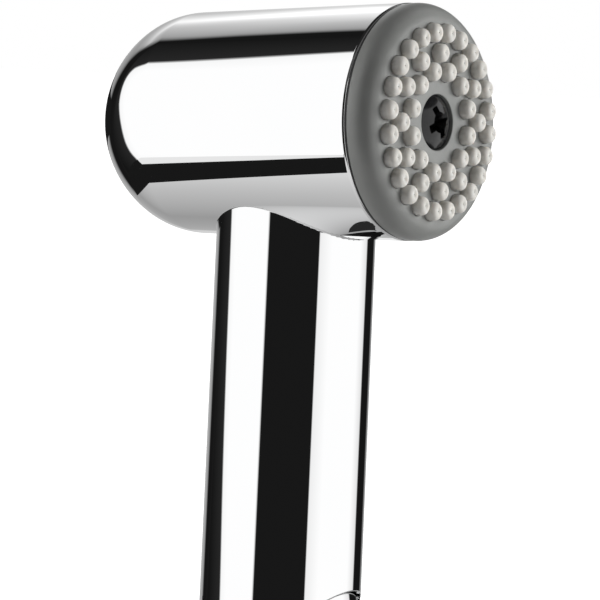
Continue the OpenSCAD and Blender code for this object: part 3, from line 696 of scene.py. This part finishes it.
def makeLever():
    v = lever
    pivot = Vector((v["pivotX"], 0, v["pivotZ"])) * mm
    swing = Matrix.Translation(pivot) @ Matrix.Rotation(math.radians(-v["travel"]), 4, "Y")
    swing = swing @ Matrix.Translation(-pivot)
    low, high = leverSpan(v["below"], v["above"])
    blank = prism("lever blank", leverOutline(), 0, v["end"])
    combine(blank, "INTERSECT", handleRod(0, low, high))
    placed(blank, swing)
    ears = copyOf(blank)
    hollow = placed(prism("hollow", leverOutline(-v["side"]), v["hollowStart"], v["end"]), swing)
    combine(hollow, "UNION", handleRod(v["lap"], low - v["hollowPast"], high + v["hollowPast"]))
    inside = handleRod(v["wall"], low - v["wallPast"], high + v["wallPast"])
    combine(hollow, "INTERSECT", placed(inside, swing))
    combine(blank, "DIFFERENCE", hollow)
    lugs = []
    for side in (-1, 1):
        span = sorted((side * v["earIn"], side * v["earOut"]))
        lug = crossRod(v["earRadius"], v["pivotX"], v["pivotZ"], *span)
        reach = block(
            (v["pivotX"], span[0], v["pivotZ"] - v["earRadius"]),
            (v["pivotX"] + v["earReach"], span[1], v["pivotZ"] + v["earRadius"]),
        )
        lugs.append(combine(lug, "UNION", reach))
    combine(ears, "INTERSECT", joined(lugs))
    padPlace = Matrix.Translation((v["padStart"] * mm, 0, v["padZ"] * mm))
    pad = placed(
        cone("pad", (v["padRadius"], 0), (v["padRadius"], v["padLength"]), v["padSteps"]),
        padPlace @ Matrix.Rotation(math.pi / 2, 4, "Y"),
    )
    combine(pad, "INTERSECT", placed(handleRod(v["padCover"], low, high), swing))
    combine(blank, "UNION", ears, pad)
    combine(blank, "DIFFERENCE", pinHole(v["pinHole"]))
    pressed = swing.inverted()

    def atRim(spot):
        flush = pressed @ (spot * mm) / mm
        across = math.hypot(flush.x, flush.y)
        return flush.x > v["front"] and across > handleRadius(flush.z) - edgeTolerance

    softenEdges(blank, v["edge"], v["edgeSegments"], atRim)
    finishPiece(blank, "squeeze_lever", "trigger", "polished_chrome", "polishedChrome", "trigger")
    trueNormals(blank, [coneSurface(swing, handleRadius(0), shellSlope, low, high)])


makeLever()


# The grey spray plate with its holes and the well for the screw
plate = dict(
    radius=19.9, front=4.75, back=0.4, rim=3.4, inner=2.85, skirtOut=17.7, skirtIn=16.65, skirtEnd=-4.5,
    wellRadius=4.7, wellFloor=1.75, wellOut=5.9, wellBack=0.35, screwHole=2.65, holeRadius=1.675, holeEdge=0.12,
    rimSteps=16, steps=144, holeSteps=32, cutBack=1, cutFront=1,
)
# Rings of nozzles: how many, ring radius and first angle
nozzleRings = [(24, 14.875, 7.5), (12, 11.475, 0), (12, 8.625, 15)]


def nozzlePlaces():
    for count, radius, first in nozzleRings:
        for i in range(count):
            turn = math.radians(first + fullTurn * i / count)
            yield Matrix.Translation((radius * mm * math.cos(turn), radius * mm * math.sin(turn), 0))


def atNozzles(pattern):  # one copy of the pattern at each nozzle, joined
    copies = []
    for place in nozzlePlaces():
        twin = copyOf(pattern)
        twin.matrix_world = place
        copies.append(twin)
    bpy.data.objects.remove(pattern)
    return placed(joined(copies), upright)


def makePlate():
    p = plate
    rim = arc((p["radius"] - p["rim"], p["front"] - p["rim"]), p["rim"], 0, 90, p["rimSteps"])
    outline = eased([
        (p["screwHole"], p["wellBack"], 0), (p["wellOut"], p["wellBack"], 0.2), (p["wellOut"], p["inner"], 0.3),
        (p["skirtIn"], p["inner"], 0.3), (p["skirtIn"], p["skirtEnd"], 0), (p["skirtOut"], p["skirtEnd"], 0.3),
        (p["skirtOut"], p["back"], 0), (p["radius"], p["back"], 0.2), rim[0] + (0,),
    ]) + rim + eased([
        (p["radius"] - p["rim"], p["front"], 0), (p["wellRadius"], p["front"], 0.15),
        (p["wellRadius"], p["wellFloor"], 0.2), (p["screwHole"], p["wellFloor"], 0),
    ])
    piece = turned("spray plate", outline + outline[:1], p["steps"])
    wide = p["holeRadius"] + p["holeEdge"]
    front = p["front"] + p["cutFront"]
    hole = turned("hole", [
        (0, p["cutBack"]), (p["holeRadius"], p["cutBack"]), (p["holeRadius"], p["front"] - p["holeEdge"]),
        (wide, p["front"]), (wide, front), (0, front),
    ], p["holeSteps"])
    combine(piece, "DIFFERENCE", atNozzles(hole))
    placed(piece, headPlace)
    finishPiece(piece, "spray_plate", "handset", "grey_plastic", "greyPlastic", "face_plate")


makePlate()


# The soft mat with its nozzles: each has a dished tip round a fine jet hole
nozzle = dict(
    radius=1.575, tip=6.45, tipFlat=0.7, dish=0.12, dishRadius=0.55, jet=0.1, boreRadius=0.85, boreTop=5.45,
    matBack=1.45, matFront=2.81, matRadius=16.55, matHole=6.0, nozzleBack=1.47, dishSteps=3, tipSteps=7,
    steps=24, matSteps=96, matCut=5,
)


def makeNozzles():
    n = nozzle
    rounding = n["radius"] - n["tipFlat"]
    ball = (n["dishRadius"] ** 2 + n["dish"] ** 2) / (2 * n["dish"])
    start, end = [-90 + math.degrees(math.asin(n[edge] / ball)) for edge in ("dishRadius", "jet")]
    dish = arc((0, n["tip"] - n["dish"] + ball), ball, start, end, n["dishSteps"])
    outline = [(n["boreRadius"], n["nozzleBack"]), (n["radius"], n["nozzleBack"])]
    outline += arc((n["tipFlat"], n["tip"] - rounding), rounding, 0, 90, n["tipSteps"]) + dish
    outline += [(n["jet"], n["boreTop"]), (n["boreRadius"], n["boreTop"]), (n["boreRadius"], n["nozzleBack"])]
    nozzles = atNozzles(turned("nozzle", outline, n["steps"]))
    piece = turned("mat", [
        (n["matHole"], n["matBack"]), (n["matRadius"], n["matBack"]), (n["matRadius"], n["matFront"]),
        (n["matHole"], n["matFront"]), (n["matHole"], n["matBack"]),
    ], n["matSteps"])
    middle = (n["radius"] + n["boreRadius"]) / 2
    hole = cone("mat hole", (middle, 0), (middle, n["matCut"]), n["steps"])
    combine(piece, "DIFFERENCE", atNozzles(hole))
    combine(piece, "UNION", nozzles)
    placed(piece, headPlace)
    finishPiece(piece, "nozzle_face", "handset", "nozzle_silicone", "nozzleSilicone", "nozzle_mat", angle=50)


makeNozzles()


# The black screw: domed head with a cross recess
screw = dict(
    headRadius=4.55, floor=1.79, top=5.45, dome=1.2, shank=2.45, length=10, crossLength=5.7,
    crossWidth=1.45, crossDepth=2.4, crossTurn=27, taper=0.5, core=0.6, overcut=1, barReach=6, coreDrop=0.1,
    domeSteps=20, steps=96, crossSteps=64,
)


def makeScrew():
    s = screw
    domeRadius = (s["headRadius"] ** 2 + s["dome"] ** 2) / (2 * s["dome"])
    lean = math.degrees(math.asin(s["headRadius"] / domeRadius))
    dome = arc((0, s["top"] - domeRadius), domeRadius, 90 - lean, 90, s["domeSteps"])
    end = s["floor"] - s["length"]
    outline = eased([
        (0, end, 0), (s["shank"], end, 0.6), (s["shank"], s["floor"], 0.1), (s["headRadius"], s["floor"], 0.2),
        dome[0] + (0,),
    ]) + dome
    piece = turned("screw", outline, s["steps"])
    low = s["top"] - s["crossDepth"]
    tall = s["crossDepth"] + s["overcut"]
    dip = domeRadius - math.sqrt(domeRadius ** 2 - (s["crossLength"] / 2) ** 2)
    wing = s["crossLength"] / 2 - s["taper"] * (s["crossDepth"] - dip)
    half = s["crossWidth"] / 2
    bars, other = [
        block((-x, -y, low - s["overcut"]), (x, y, low + tall + s["overcut"]))
        for x, y in ((s["barReach"], half), (half, s["barReach"]))
    ]
    combine(bars, "UNION", other)
    wings = cone("wings", (wing, low), (wing + s["taper"] * tall, low + tall), s["crossSteps"])
    drop = s["coreDrop"]
    wide = s["core"] + s["taper"] * (tall + 2 * drop)
    core = cone("core", (s["core"], low - drop), (wide, low + tall + drop), s["crossSteps"])
    combine(bars, "INTERSECT", wings)
    combine(bars, "UNION", core)
    placed(bars, Matrix.Rotation(math.radians(s["crossTurn"]), 4, "Z"))
    combine(piece, "DIFFERENCE", bars)
    placed(piece, headPlace)
    finishPiece(piece, "cross_screw", "handset", "black_screw", "blackScrew", "face_screw")


makeScrew()


# The end collar under the handle
collar = dict(
    inner=13.1, outer=15.1, low=11, high=13.96, spigot=12.1, step=12.64, lowEdge=1.4, highEdge=0.25,
    edgeSteps=8, steps=144,
)


def makeCollar():
    c = collar
    outline = eased([
        (c["inner"], c["low"], 0.15), (c["outer"], c["low"], c["lowEdge"]),
        (c["outer"], c["high"], c["highEdge"]), (c["spigot"], c["high"], 0), (c["spigot"], c["step"], 0),
        (c["inner"], c["step"], 0),
    ], c["edgeSteps"])
    piece = turned("collar", outline + outline[:1], c["steps"])
    finishPiece(piece, "lower_collar", "handset", "polished_chrome", "polishedChrome", "end_collar")


makeCollar()


# The hose nipple with its half-inch pipe thread
nipple = dict(
    crest=10.4775, core=9.3, pitch=1.8143, threadTop=10.0, flange=13, flangeLow=10.6, flangeHigh=12.6,
    spigot=12, top=31, bore=4, seatRadius=8, seatDepth=2.6, socket=5, socketLow=23.5, turns=7, start=-1.7,
    rootHalf=0.87, flankHalf=0.27, crestHalf=0.1, crestRound=0.14, sink=0.1, clear=0.02, fadeLow=1,
    fadeHigh=0.9, steps=96,
)


def makeNipple():
    n = nipple
    outline = eased([
        (n["bore"], n["seatDepth"], 0), (n["seatRadius"], n["seatDepth"], 0), (n["seatRadius"], 0, 0.25),
        (n["core"], 0, 0.25), (n["core"], n["flangeLow"], 0.25), (n["flange"], n["flangeLow"], 0.3),
        (n["flange"], n["flangeHigh"], 0.2), (n["spigot"], n["flangeHigh"], 0), (n["spigot"], n["top"], 0.3),
        (n["socket"], n["top"], 0.3), (n["socket"], n["socketLow"], 0), (n["bore"], n["socketLow"], 0),
    ])
    piece = turned("nipple", outline + outline[:1], n["steps"])
    tooth = [
        (n["core"] - n["sink"], n["rootHalf"]), (n["crest"] - n["crestRound"], n["flankHalf"]),
        (n["crest"], n["crestHalf"]),
    ]
    tooth = [(radius, -z) for radius, z in tooth] + tooth[::-1]
    thread = newPiece("thread", "circle", vertices=len(tooth), radius=mm)
    for vertex, (radius, z) in zip(thread.data.vertices, tooth):
        vertex.co = Vector((radius, 0, z + n["start"])) * mm
    steps = n["steps"]
    offset = n["pitch"] * mm
    applyModifier(thread, "SCREW", screw_offset=offset, iterations=n["turns"], steps=steps, render_steps=steps)
    ends = {}
    for face in thread.data.polygons:
        for key in face.edge_keys:
            ends[key] = ends.get(key, 0) + 1
    editEdges(thread, lambda edge: ends[tuple(sorted(edge.vertices))] == 1)
    bpy.ops.mesh.edge_face_add()
    faceOutwards()
    wide = n["crest"] + n["clear"]
    narrow = n["core"] + n["sink"]
    envelope = turned("envelope", [
        (0, n["sink"]), (narrow, n["sink"]), (wide, n["fadeLow"]), (wide, n["threadTop"] - n["fadeHigh"]),
        (narrow, n["threadTop"]), (0, n["threadTop"]),
    ], steps)
    combine(thread, "INTERSECT", envelope)
    combine(piece, "UNION", thread)
    finishPiece(piece, "hose_nipple", "handset", "polished_chrome", "polishedChrome", "inlet_nipple", angle=30)


makeNipple()


# The inlet filter: a woven screen in a rim
strainer = dict(
    rimOut=7.9, rimIn=6.6, low=0.96, high=2.56, edge=0.25, screenZ=1.9, wire=0.14, pitch=0.8, weave=0.14,
    sink=0.5, steps=96,
)


def makeStrainer():
    s = strainer
    outline = eased([
        (s["rimIn"], s["low"], s["edge"]), (s["rimOut"], s["low"], s["edge"]),
        (s["rimOut"], s["high"], s["edge"]), (s["rimIn"], s["high"], s["edge"]),
    ])
    rim = turned("strainer rim", outline + outline[:1], s["steps"])
    wires = []
    rows = int(s["rimIn"] / s["pitch"])
    for along in (0, 1):
        for row in range(-rows, rows + 1):
            reach = math.sqrt((s["rimIn"] + s["sink"]) ** 2 - (row * s["pitch"]) ** 2)
            count = max(2, round(2 * reach / s["pitch"] * 2))
            curve = bpy.data.curves.new("wire", "CURVE")
            curve.dimensions = "3D"
            curve.bevel_depth = s["wire"] * mm
            curve.bevel_resolution = 0
            curve.use_fill_caps = True
            spline = curve.splines.new("POLY")
            spline.points.add(count)
            for i, point in enumerate(spline.points):
                u = -reach + 2 * reach * i / count
                wave = math.cos(math.pi * (u / s["pitch"] + row + along)) * s["weave"]
                spot = (u, row * s["pitch"], wave) if along else (row * s["pitch"], u, -wave)
                point.co = (spot[0] * mm, spot[1] * mm, (s["screenZ"] + spot[2]) * mm, 1)
            activate(addObject("wire", curve))
            bpy.ops.object.convert(target="MESH")
            wires.append(bpy.context.object)
    piece = joined([rim] + wires)
    finishPiece(piece, "woven_strainer", "handset", "stainless_steel", "stainlessSteel", "inlet_filter")


makeStrainer()


# The pin that the lever turns on
pin = dict(radius=1.5, reach=11.38, edge=0.3, steps=48)


def makePin():
    outline = eased([
        (0, -pin["reach"], 0), (pin["radius"], -pin["reach"], pin["edge"]),
        (pin["radius"], pin["reach"], pin["edge"]), (0, pin["reach"], 0),
    ])
    place = Matrix.Translation((lever["pivotX"] * mm, 0, lever["pivotZ"] * mm))
    piece = placed(turned("pin", outline, pin["steps"]), place @ Matrix.Rotation(math.pi / 2, 4, "X"))
    finishPiece(piece, "hinge_pin", "handset", "stainless_steel", "stainlessSteel", "trigger_pin")


makePin()


# The valve spring, made at its rest length; the real one shortens as the lever presses the stem
spring = dict(
    wire=0.34, wireSteps=12, radius=2.7, turns=4, steps=32, front=-4.93, back=-10.65, axisZ=69.5, pressed=2.513,
)


def makeSpring():
    s = spring
    length = s["front"] - s["back"]
    piece = newPiece(
        "wire", "circle", vertices=s["wireSteps"], radius=s["wire"] * mm, rotation=(math.pi / 2, 0, 0),
        location=(s["radius"] * mm, 0, s["wire"] * mm),
    )
    bpy.ops.object.transform_apply(location=True, rotation=True)
    pitch = (length - 2 * s["wire"]) / s["turns"] * mm
    steps = s["steps"]
    applyModifier(piece, "SCREW", screw_offset=pitch, iterations=s["turns"], steps=steps, render_steps=steps)
    editEdges(piece, lambda edge: False)
    bpy.ops.mesh.select_non_manifold()
    bpy.ops.mesh.fill_holes(sides=0)
    faceOutwards()
    anchor = (s["back"] * mm, 0, s["axisZ"] * mm)
    placed(piece, Matrix.Translation(anchor) @ Matrix.Rotation(math.pi / 2, 4, "Y"))
    finishPiece(piece, "coil_spring", "handset", "stainless_steel", "stainlessSteel", "valve_spring", angle=60)
    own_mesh(piece)


makeSpring()


# The studio: a wall of white, grey and black cards stands round the handle axis, and others lie on the floor.
# Compass angles are from the spray direction towards -Y, and a brightness of 1 is white
wall = dict(
    distance=340 * mm, height=700 * mm, ceiling=0.015, sides=360, ceilingSides=120,
    shades=[
        (0, 1.0), (18.9, 0.86), (19.5, 0.009), (91.0, 0.009), (91.6, 1.0), (146, 1.0), (157.1, 0.93),
        (157.7, 0.02), (184, 0.008), (193, 0.008), (195, 0.09), (196.5, 0.2), (200, 0.32), (204, 0.37),
        (216, 0.49), (224.5, 0.62), (236, 0.86), (248, 0.48), (256, 0.25), (261.5, 0.1), (263.5, 0.008),
        (289.4, 0.008), (290, 0.75), (307, 1.0), (360, 1.0),
    ],
    # by height in mm: how far the first edge of the rear black card bends and its last edge leans, in degrees,
    # and how bright the grey beside it is
    bend=[
        (0, 13), (30, 8), (60, 4.5), (90, 2), (130, -0.5), (170, -4), (215, -11), (285, -18), (350, -12),
        (400, -3), (445, 3), (500, 3.5),
    ],
    lean=[(240, 0), (350, 6), (400, 9.5), (455, 12.5), (515, 11.5), (550, 7.5), (600, 4.5), (690, 2)],
    strength=[
        (150, 1), (220, 0.85), (290, 0.8), (320, 0.95), (365, 1.3), (398, 1.75), (412, 1.6), (436, 1.2),
        (470, 1.05),
    ],
    bendFrom=120, bendTo=178, strengthFrom=188, strengthTo=236,
    panels=[  # first and last angle, lowest and highest mm, level
        (188, 240, 138, 200, 0.01), (289.7, 361, 330, 700, 0.08), (-1, 60, 330, 700, 0.08),
    ],
)
floorCards = dict(
    radius=341 * mm, greyLift=0.05, lift=0.1,
    # brightness of the grey floor card by distance along Y, as a share of its width
    greys=[(0, 0.7), (0.28, 0.66), (0.41, 0.5), (0.58, 0.32), (0.8, 0.42), (1, 0.55)],
    # other floor cards by their corners, each with its brightness
    rear=(0.009, [
        (-345, 132), (-167, -84), (-124, -149), (-38, -292), (-100, -360), (-163, -290),
        (-181, -254), (-193, -223), (-205, -202), (-217, -182), (-276, -198), (-345, -202),
    ]),
    rearPale=(0.8, [
        (-345, -202), (-276, -198), (-217, -182), (-205, -202), (-193, -223),
        (-181, -254), (-163, -290), (-100, -360), (-345, -360),
    ]),
    front=(0.021, [
        (235, 52), (205, 22), (186, 2), (157, -26), (138, -43), (126, -50), (121, -47), (134, -20), (143, 19),
        (147, 60), (144, 99), (133, 131), (146, 111), (161, 94), (181, 83), (203, 72),
    ]),
    side=(0.01, [(20, 165), (150, 155), (215, 105), (335, 50), (250, 225), (90, 325), (10, 335)]),
    frontBlack=(0.004, [
        (345, 30), (300, 58), (253, 84), (217, 99), (187, 112), (161, 127), (138, 138), (104, 182), (60, 221),
        (-40, 282), (0, 345), (345, 345),
    ]),
)
# Diffuse light from above, in a cap of the sky, and a little from all round
sky = dict(low=0.05, high=0.9, capFrom=0.78, capTo=0.9)
floor = dict(size=30.0, color=(0.82, 0.82, 0.82, 1), glow=0.8, farGlow=1.0, nearEdge=0.5, farEdge=1.2)


def glowMaterial(name, strength=1.0):
    material = bpy.data.materials.new(name)
    material.use_nodes = True
    tree = material.node_tree
    tree.nodes.remove(tree.nodes["Principled BSDF"])
    glow = addNode(tree, "Emission", {"Strength": strength})
    setInputs(tree.nodes["Material Output"], {"Surface": glow.outputs[0]})
    return material, tree, glow


def addRamp(tree, value, stops, whole, kind="LINEAR"):  # greys by place, from 0 to the whole
    node = addNode(tree, "ValToRGB", {0: value})
    elements = node.color_ramp.elements
    node.color_ramp.interpolation = kind
    while len(elements) < len(stops):
        elements.new(0.5)
    for element, (place, brightness) in zip(elements, stops):
        element.position = place / whole
        element.color = grey(brightness)
    return node.outputs[0]


def showInMetalOnly(card, material):
    card.data.materials.append(material)
    for rays in ("camera", "diffuse", "shadow", "transmission"):
        setattr(card, "visible_" + rays, False)


def overHeight(tree, rise, stops):  # a smooth curve of values by height
    values = [value for level, value in stops]
    least = min(values)
    span = max(values) - least
    shares = [(level, (value - least) / span) for level, value in stops]
    curve = addRamp(tree, rise, shares, wall["height"] / mm, "B_SPLINE")
    return addMath(tree, "MULTIPLY_ADD", curve, span, least)


def between(tree, value, first, last):  # 1 from the first to the last value, and 0 elsewhere
    after = addMath(tree, "GREATER_THAN", value, first)
    return addMath(tree, "MULTIPLY", after, addMath(tree, "LESS_THAN", value, last))


def makeWall():
    height = wall["height"]
    card = newPiece(
        "cardWall", "cylinder", vertices=wall["sides"], radius=wall["distance"], depth=height,
        location=(0, 0, height / 2), end_fill_type="NOTHING",
    )
    bpy.ops.object.transform_apply(location=True)
    material, tree, glow = glowMaterial("cardWall")
    spot = addNode(tree, "SeparateXYZ", {0: objectSpot(tree)}).outputs
    compass = addMath(tree, "ARCTAN2", addMath(tree, "MULTIPLY", spot["Y"], -1.0), spot["X"])
    turn = addMath(tree, "FRACT", addMath(tree, "DIVIDE", compass, 2 * math.pi))
    angle = addMath(tree, "MULTIPLY", turn, fullTurn)
    rise = mapRange(tree, spot["Z"], 0, height)
    place = angle
    sectors = (("bend", wall["bendFrom"], wall["bendTo"]), ("lean", wall["bendTo"], fullTurn + 1))
    for name, first, last in sectors:
        moved = overHeight(tree, rise, wall[name])
        place = addMath(tree, "MULTIPLY_ADD", moved, between(tree, angle, first, last), place)
    shade = addRamp(tree, mapRange(tree, place, 0, fullTurn), wall["shades"], fullTurn)
    for first, last, low, high, level in wall["panels"]:
        across = between(tree, angle, first, last)
        panel = addMath(tree, "MULTIPLY", across, between(tree, spot["Z"], low * mm, high * mm))
        shade = mixColors(tree, panel, shade, grey(level))
    share = between(tree, angle, wall["strengthFrom"], wall["strengthTo"])
    strength = mixNumbers(tree, share, 1.0, overHeight(tree, rise, wall["strength"]))
    setInputs(glow, {"Color": shade, "Strength": strength})
    showInMetalOnly(card, material)


def makeCeiling():
    card = newPiece(
        "ceilingCard", "circle", vertices=wall["ceilingSides"], radius=wall["distance"], fill_type="NGON",
        location=(0, 0, wall["height"]),
    )
    bpy.ops.object.transform_apply(location=True)
    showInMetalOnly(card, glowMaterial("ceilingCard", wall["ceiling"])[0])


def lyingCard(name, corners, z, material):
    mesh = bpy.data.meshes.new(name)
    mesh.from_pydata([(x * mm, y * mm, z * mm) for x, y in corners], [], [range(len(corners))])
    showInMetalOnly(addObject(name, mesh), material)


def makeFloorCards():
    reach = floorCards["radius"] / mm
    turns = [math.radians(a) for a in range(0, fullTurn, 3)]
    around = [(reach * math.cos(turn), reach * math.sin(turn)) for turn in turns]
    material, tree, glow = glowMaterial("greyFloorCard")
    spot = addNode(tree, "SeparateXYZ", {0: objectSpot(tree)}).outputs
    share = mapRange(tree, spot["Y"], -reach * mm, reach * mm)
    setInputs(glow, {"Color": addRamp(tree, share, floorCards["greys"], 1)})
    lyingCard("greyFloorCard", around, floorCards["greyLift"], material)
    for place in ("rear", "rearPale", "side", "front", "frontBlack"):
        name = place + "FloorCard"
        brightness, corners = floorCards[place]
        lyingCard(name, corners, floorCards["lift"], glowMaterial(name, brightness)[0])


def backgroundRays(tree):  # 1 for rays that see the background directly, in metal or through glass
    rays = addNode(tree, "LightPath").outputs
    seen = addMath(tree, "ADD", rays["Is Camera Ray"], rays["Is Glossy Ray"])
    return addMath(tree, "ADD", seen, rays["Is Transmission Ray"], clamp=True)


def makeFloor():  # its glow rises to white away from the object, whose shadow it keeps
    ground = newPiece("floor", "plane", size=floor["size"])
    material, tree, glow = glowMaterial("paleFloor")
    pale = addNode(tree, "BsdfDiffuse", {"Color": floor["color"]})
    away = addNode(tree, "VectorMath", {0: objectSpot(tree)}, operation="LENGTH").outputs["Value"]
    edges = (floor["nearEdge"], floor["farEdge"], floor["glow"], floor["farGlow"])
    rise = mapRange(tree, away, *edges, kind="SMOOTHSTEP")
    setInputs(glow, {"Strength": addMath(tree, "MULTIPLY", backgroundRays(tree), rise)})
    both = addNode(tree, "AddShader", {0: pale.outputs[0], 1: glow.outputs[0]})
    setInputs(tree.nodes["Material Output"], {"Surface": both.outputs[0]})
    ground.data.materials.append(material)


def makeWorld():
    world = bpy.data.worlds.new("studio")
    bpy.context.scene.world = world
    world.use_nodes = True
    tree = world.node_tree
    direction = addNode(tree, "TexCoord").outputs["Generated"]
    up = addNode(tree, "SeparateXYZ", {0: direction}).outputs["Z"]
    cap = mapRange(tree, up, sky["capFrom"], sky["capTo"], sky["low"], sky["high"], "SMOOTHSTEP")
    soft = setInputs(tree.nodes["Background"], {"Color": grey(1), "Strength": cap})
    white = addNode(tree, "Background", {"Color": grey(1), "Strength": 1.0})
    mix = addNode(tree, "MixShader", {0: backgroundRays(tree), 1: soft.outputs[0], 2: white.outputs[0]})
    setInputs(tree.nodes["World Output"], {"Surface": mix.outputs[0]})


# Soft lamps: compass angle and height angle in degrees, distance and side in metres, power in watts
lamps = dict(
    keyLamp=dict(angle=-45, rise=10, distance=1.2, side=0.7, power=20.0),
    sideLamp=dict(angle=140, rise=12, distance=1.2, side=0.7, power=9.5),
)


def makeLamp(name, lamp):
    data = bpy.data.lights.new(name, "AREA")
    data.size = lamp["side"]
    data.energy = lamp["power"]
    spot = addObject(name, data)
    angle = math.radians(lamp["angle"])
    rise = math.radians(lamp["rise"])
    away = Vector((math.cos(angle) * math.cos(rise), -math.sin(angle) * math.cos(rise), math.sin(rise)))
    spot.location = seam + away * lamp["distance"]
    spot.rotation_euler = (-away).to_track_quat("-Z", "Y").to_euler()
    spot.visible_camera = False
    spot.visible_glossy = False


makeWall()
makeCeiling()
makeFloorCards()
makeFloor()
makeWorld()
for name, lamp in lamps.items():
    makeLamp(name, lamp)
print("studio lit")


# The camera: lens and sensor in mm, turns in degrees, and where it is from the seam, in its own directions
view = dict(
    lens=119.48, sensor=36, turn=52.471, drop=4.789, left=19.151 * mm, down=29.849 * mm, back=334.95 * mm,
    near=10 * mm, far=50,
)


def makeCamera():
    around = math.radians(view["turn"])
    drop = math.radians(view["drop"])
    right = Vector((math.sin(around), math.cos(around), 0))
    forward = Vector((-math.cos(around) * math.cos(drop), math.sin(around) * math.cos(drop), -math.sin(drop)))
    right = headTilt @ right
    forward = headTilt @ forward
    up = right.cross(forward)
    data = bpy.data.cameras.new("camera")
    data.lens = view["lens"]
    data.sensor_width = view["sensor"]
    data.clip_start = view["near"]
    data.clip_end = view["far"]
    camera = addObject("camera", data)
    spot = seam - right * view["left"] - up * view["down"] - forward * view["back"]
    camera.matrix_world = Matrix.LocRotScale(spot, Matrix((right, up, -forward)).transposed(), None)
    bpy.context.scene.camera = camera


makeCamera()
bpy.context.scene.view_settings.view_transform = "Standard"
print("camera placed")
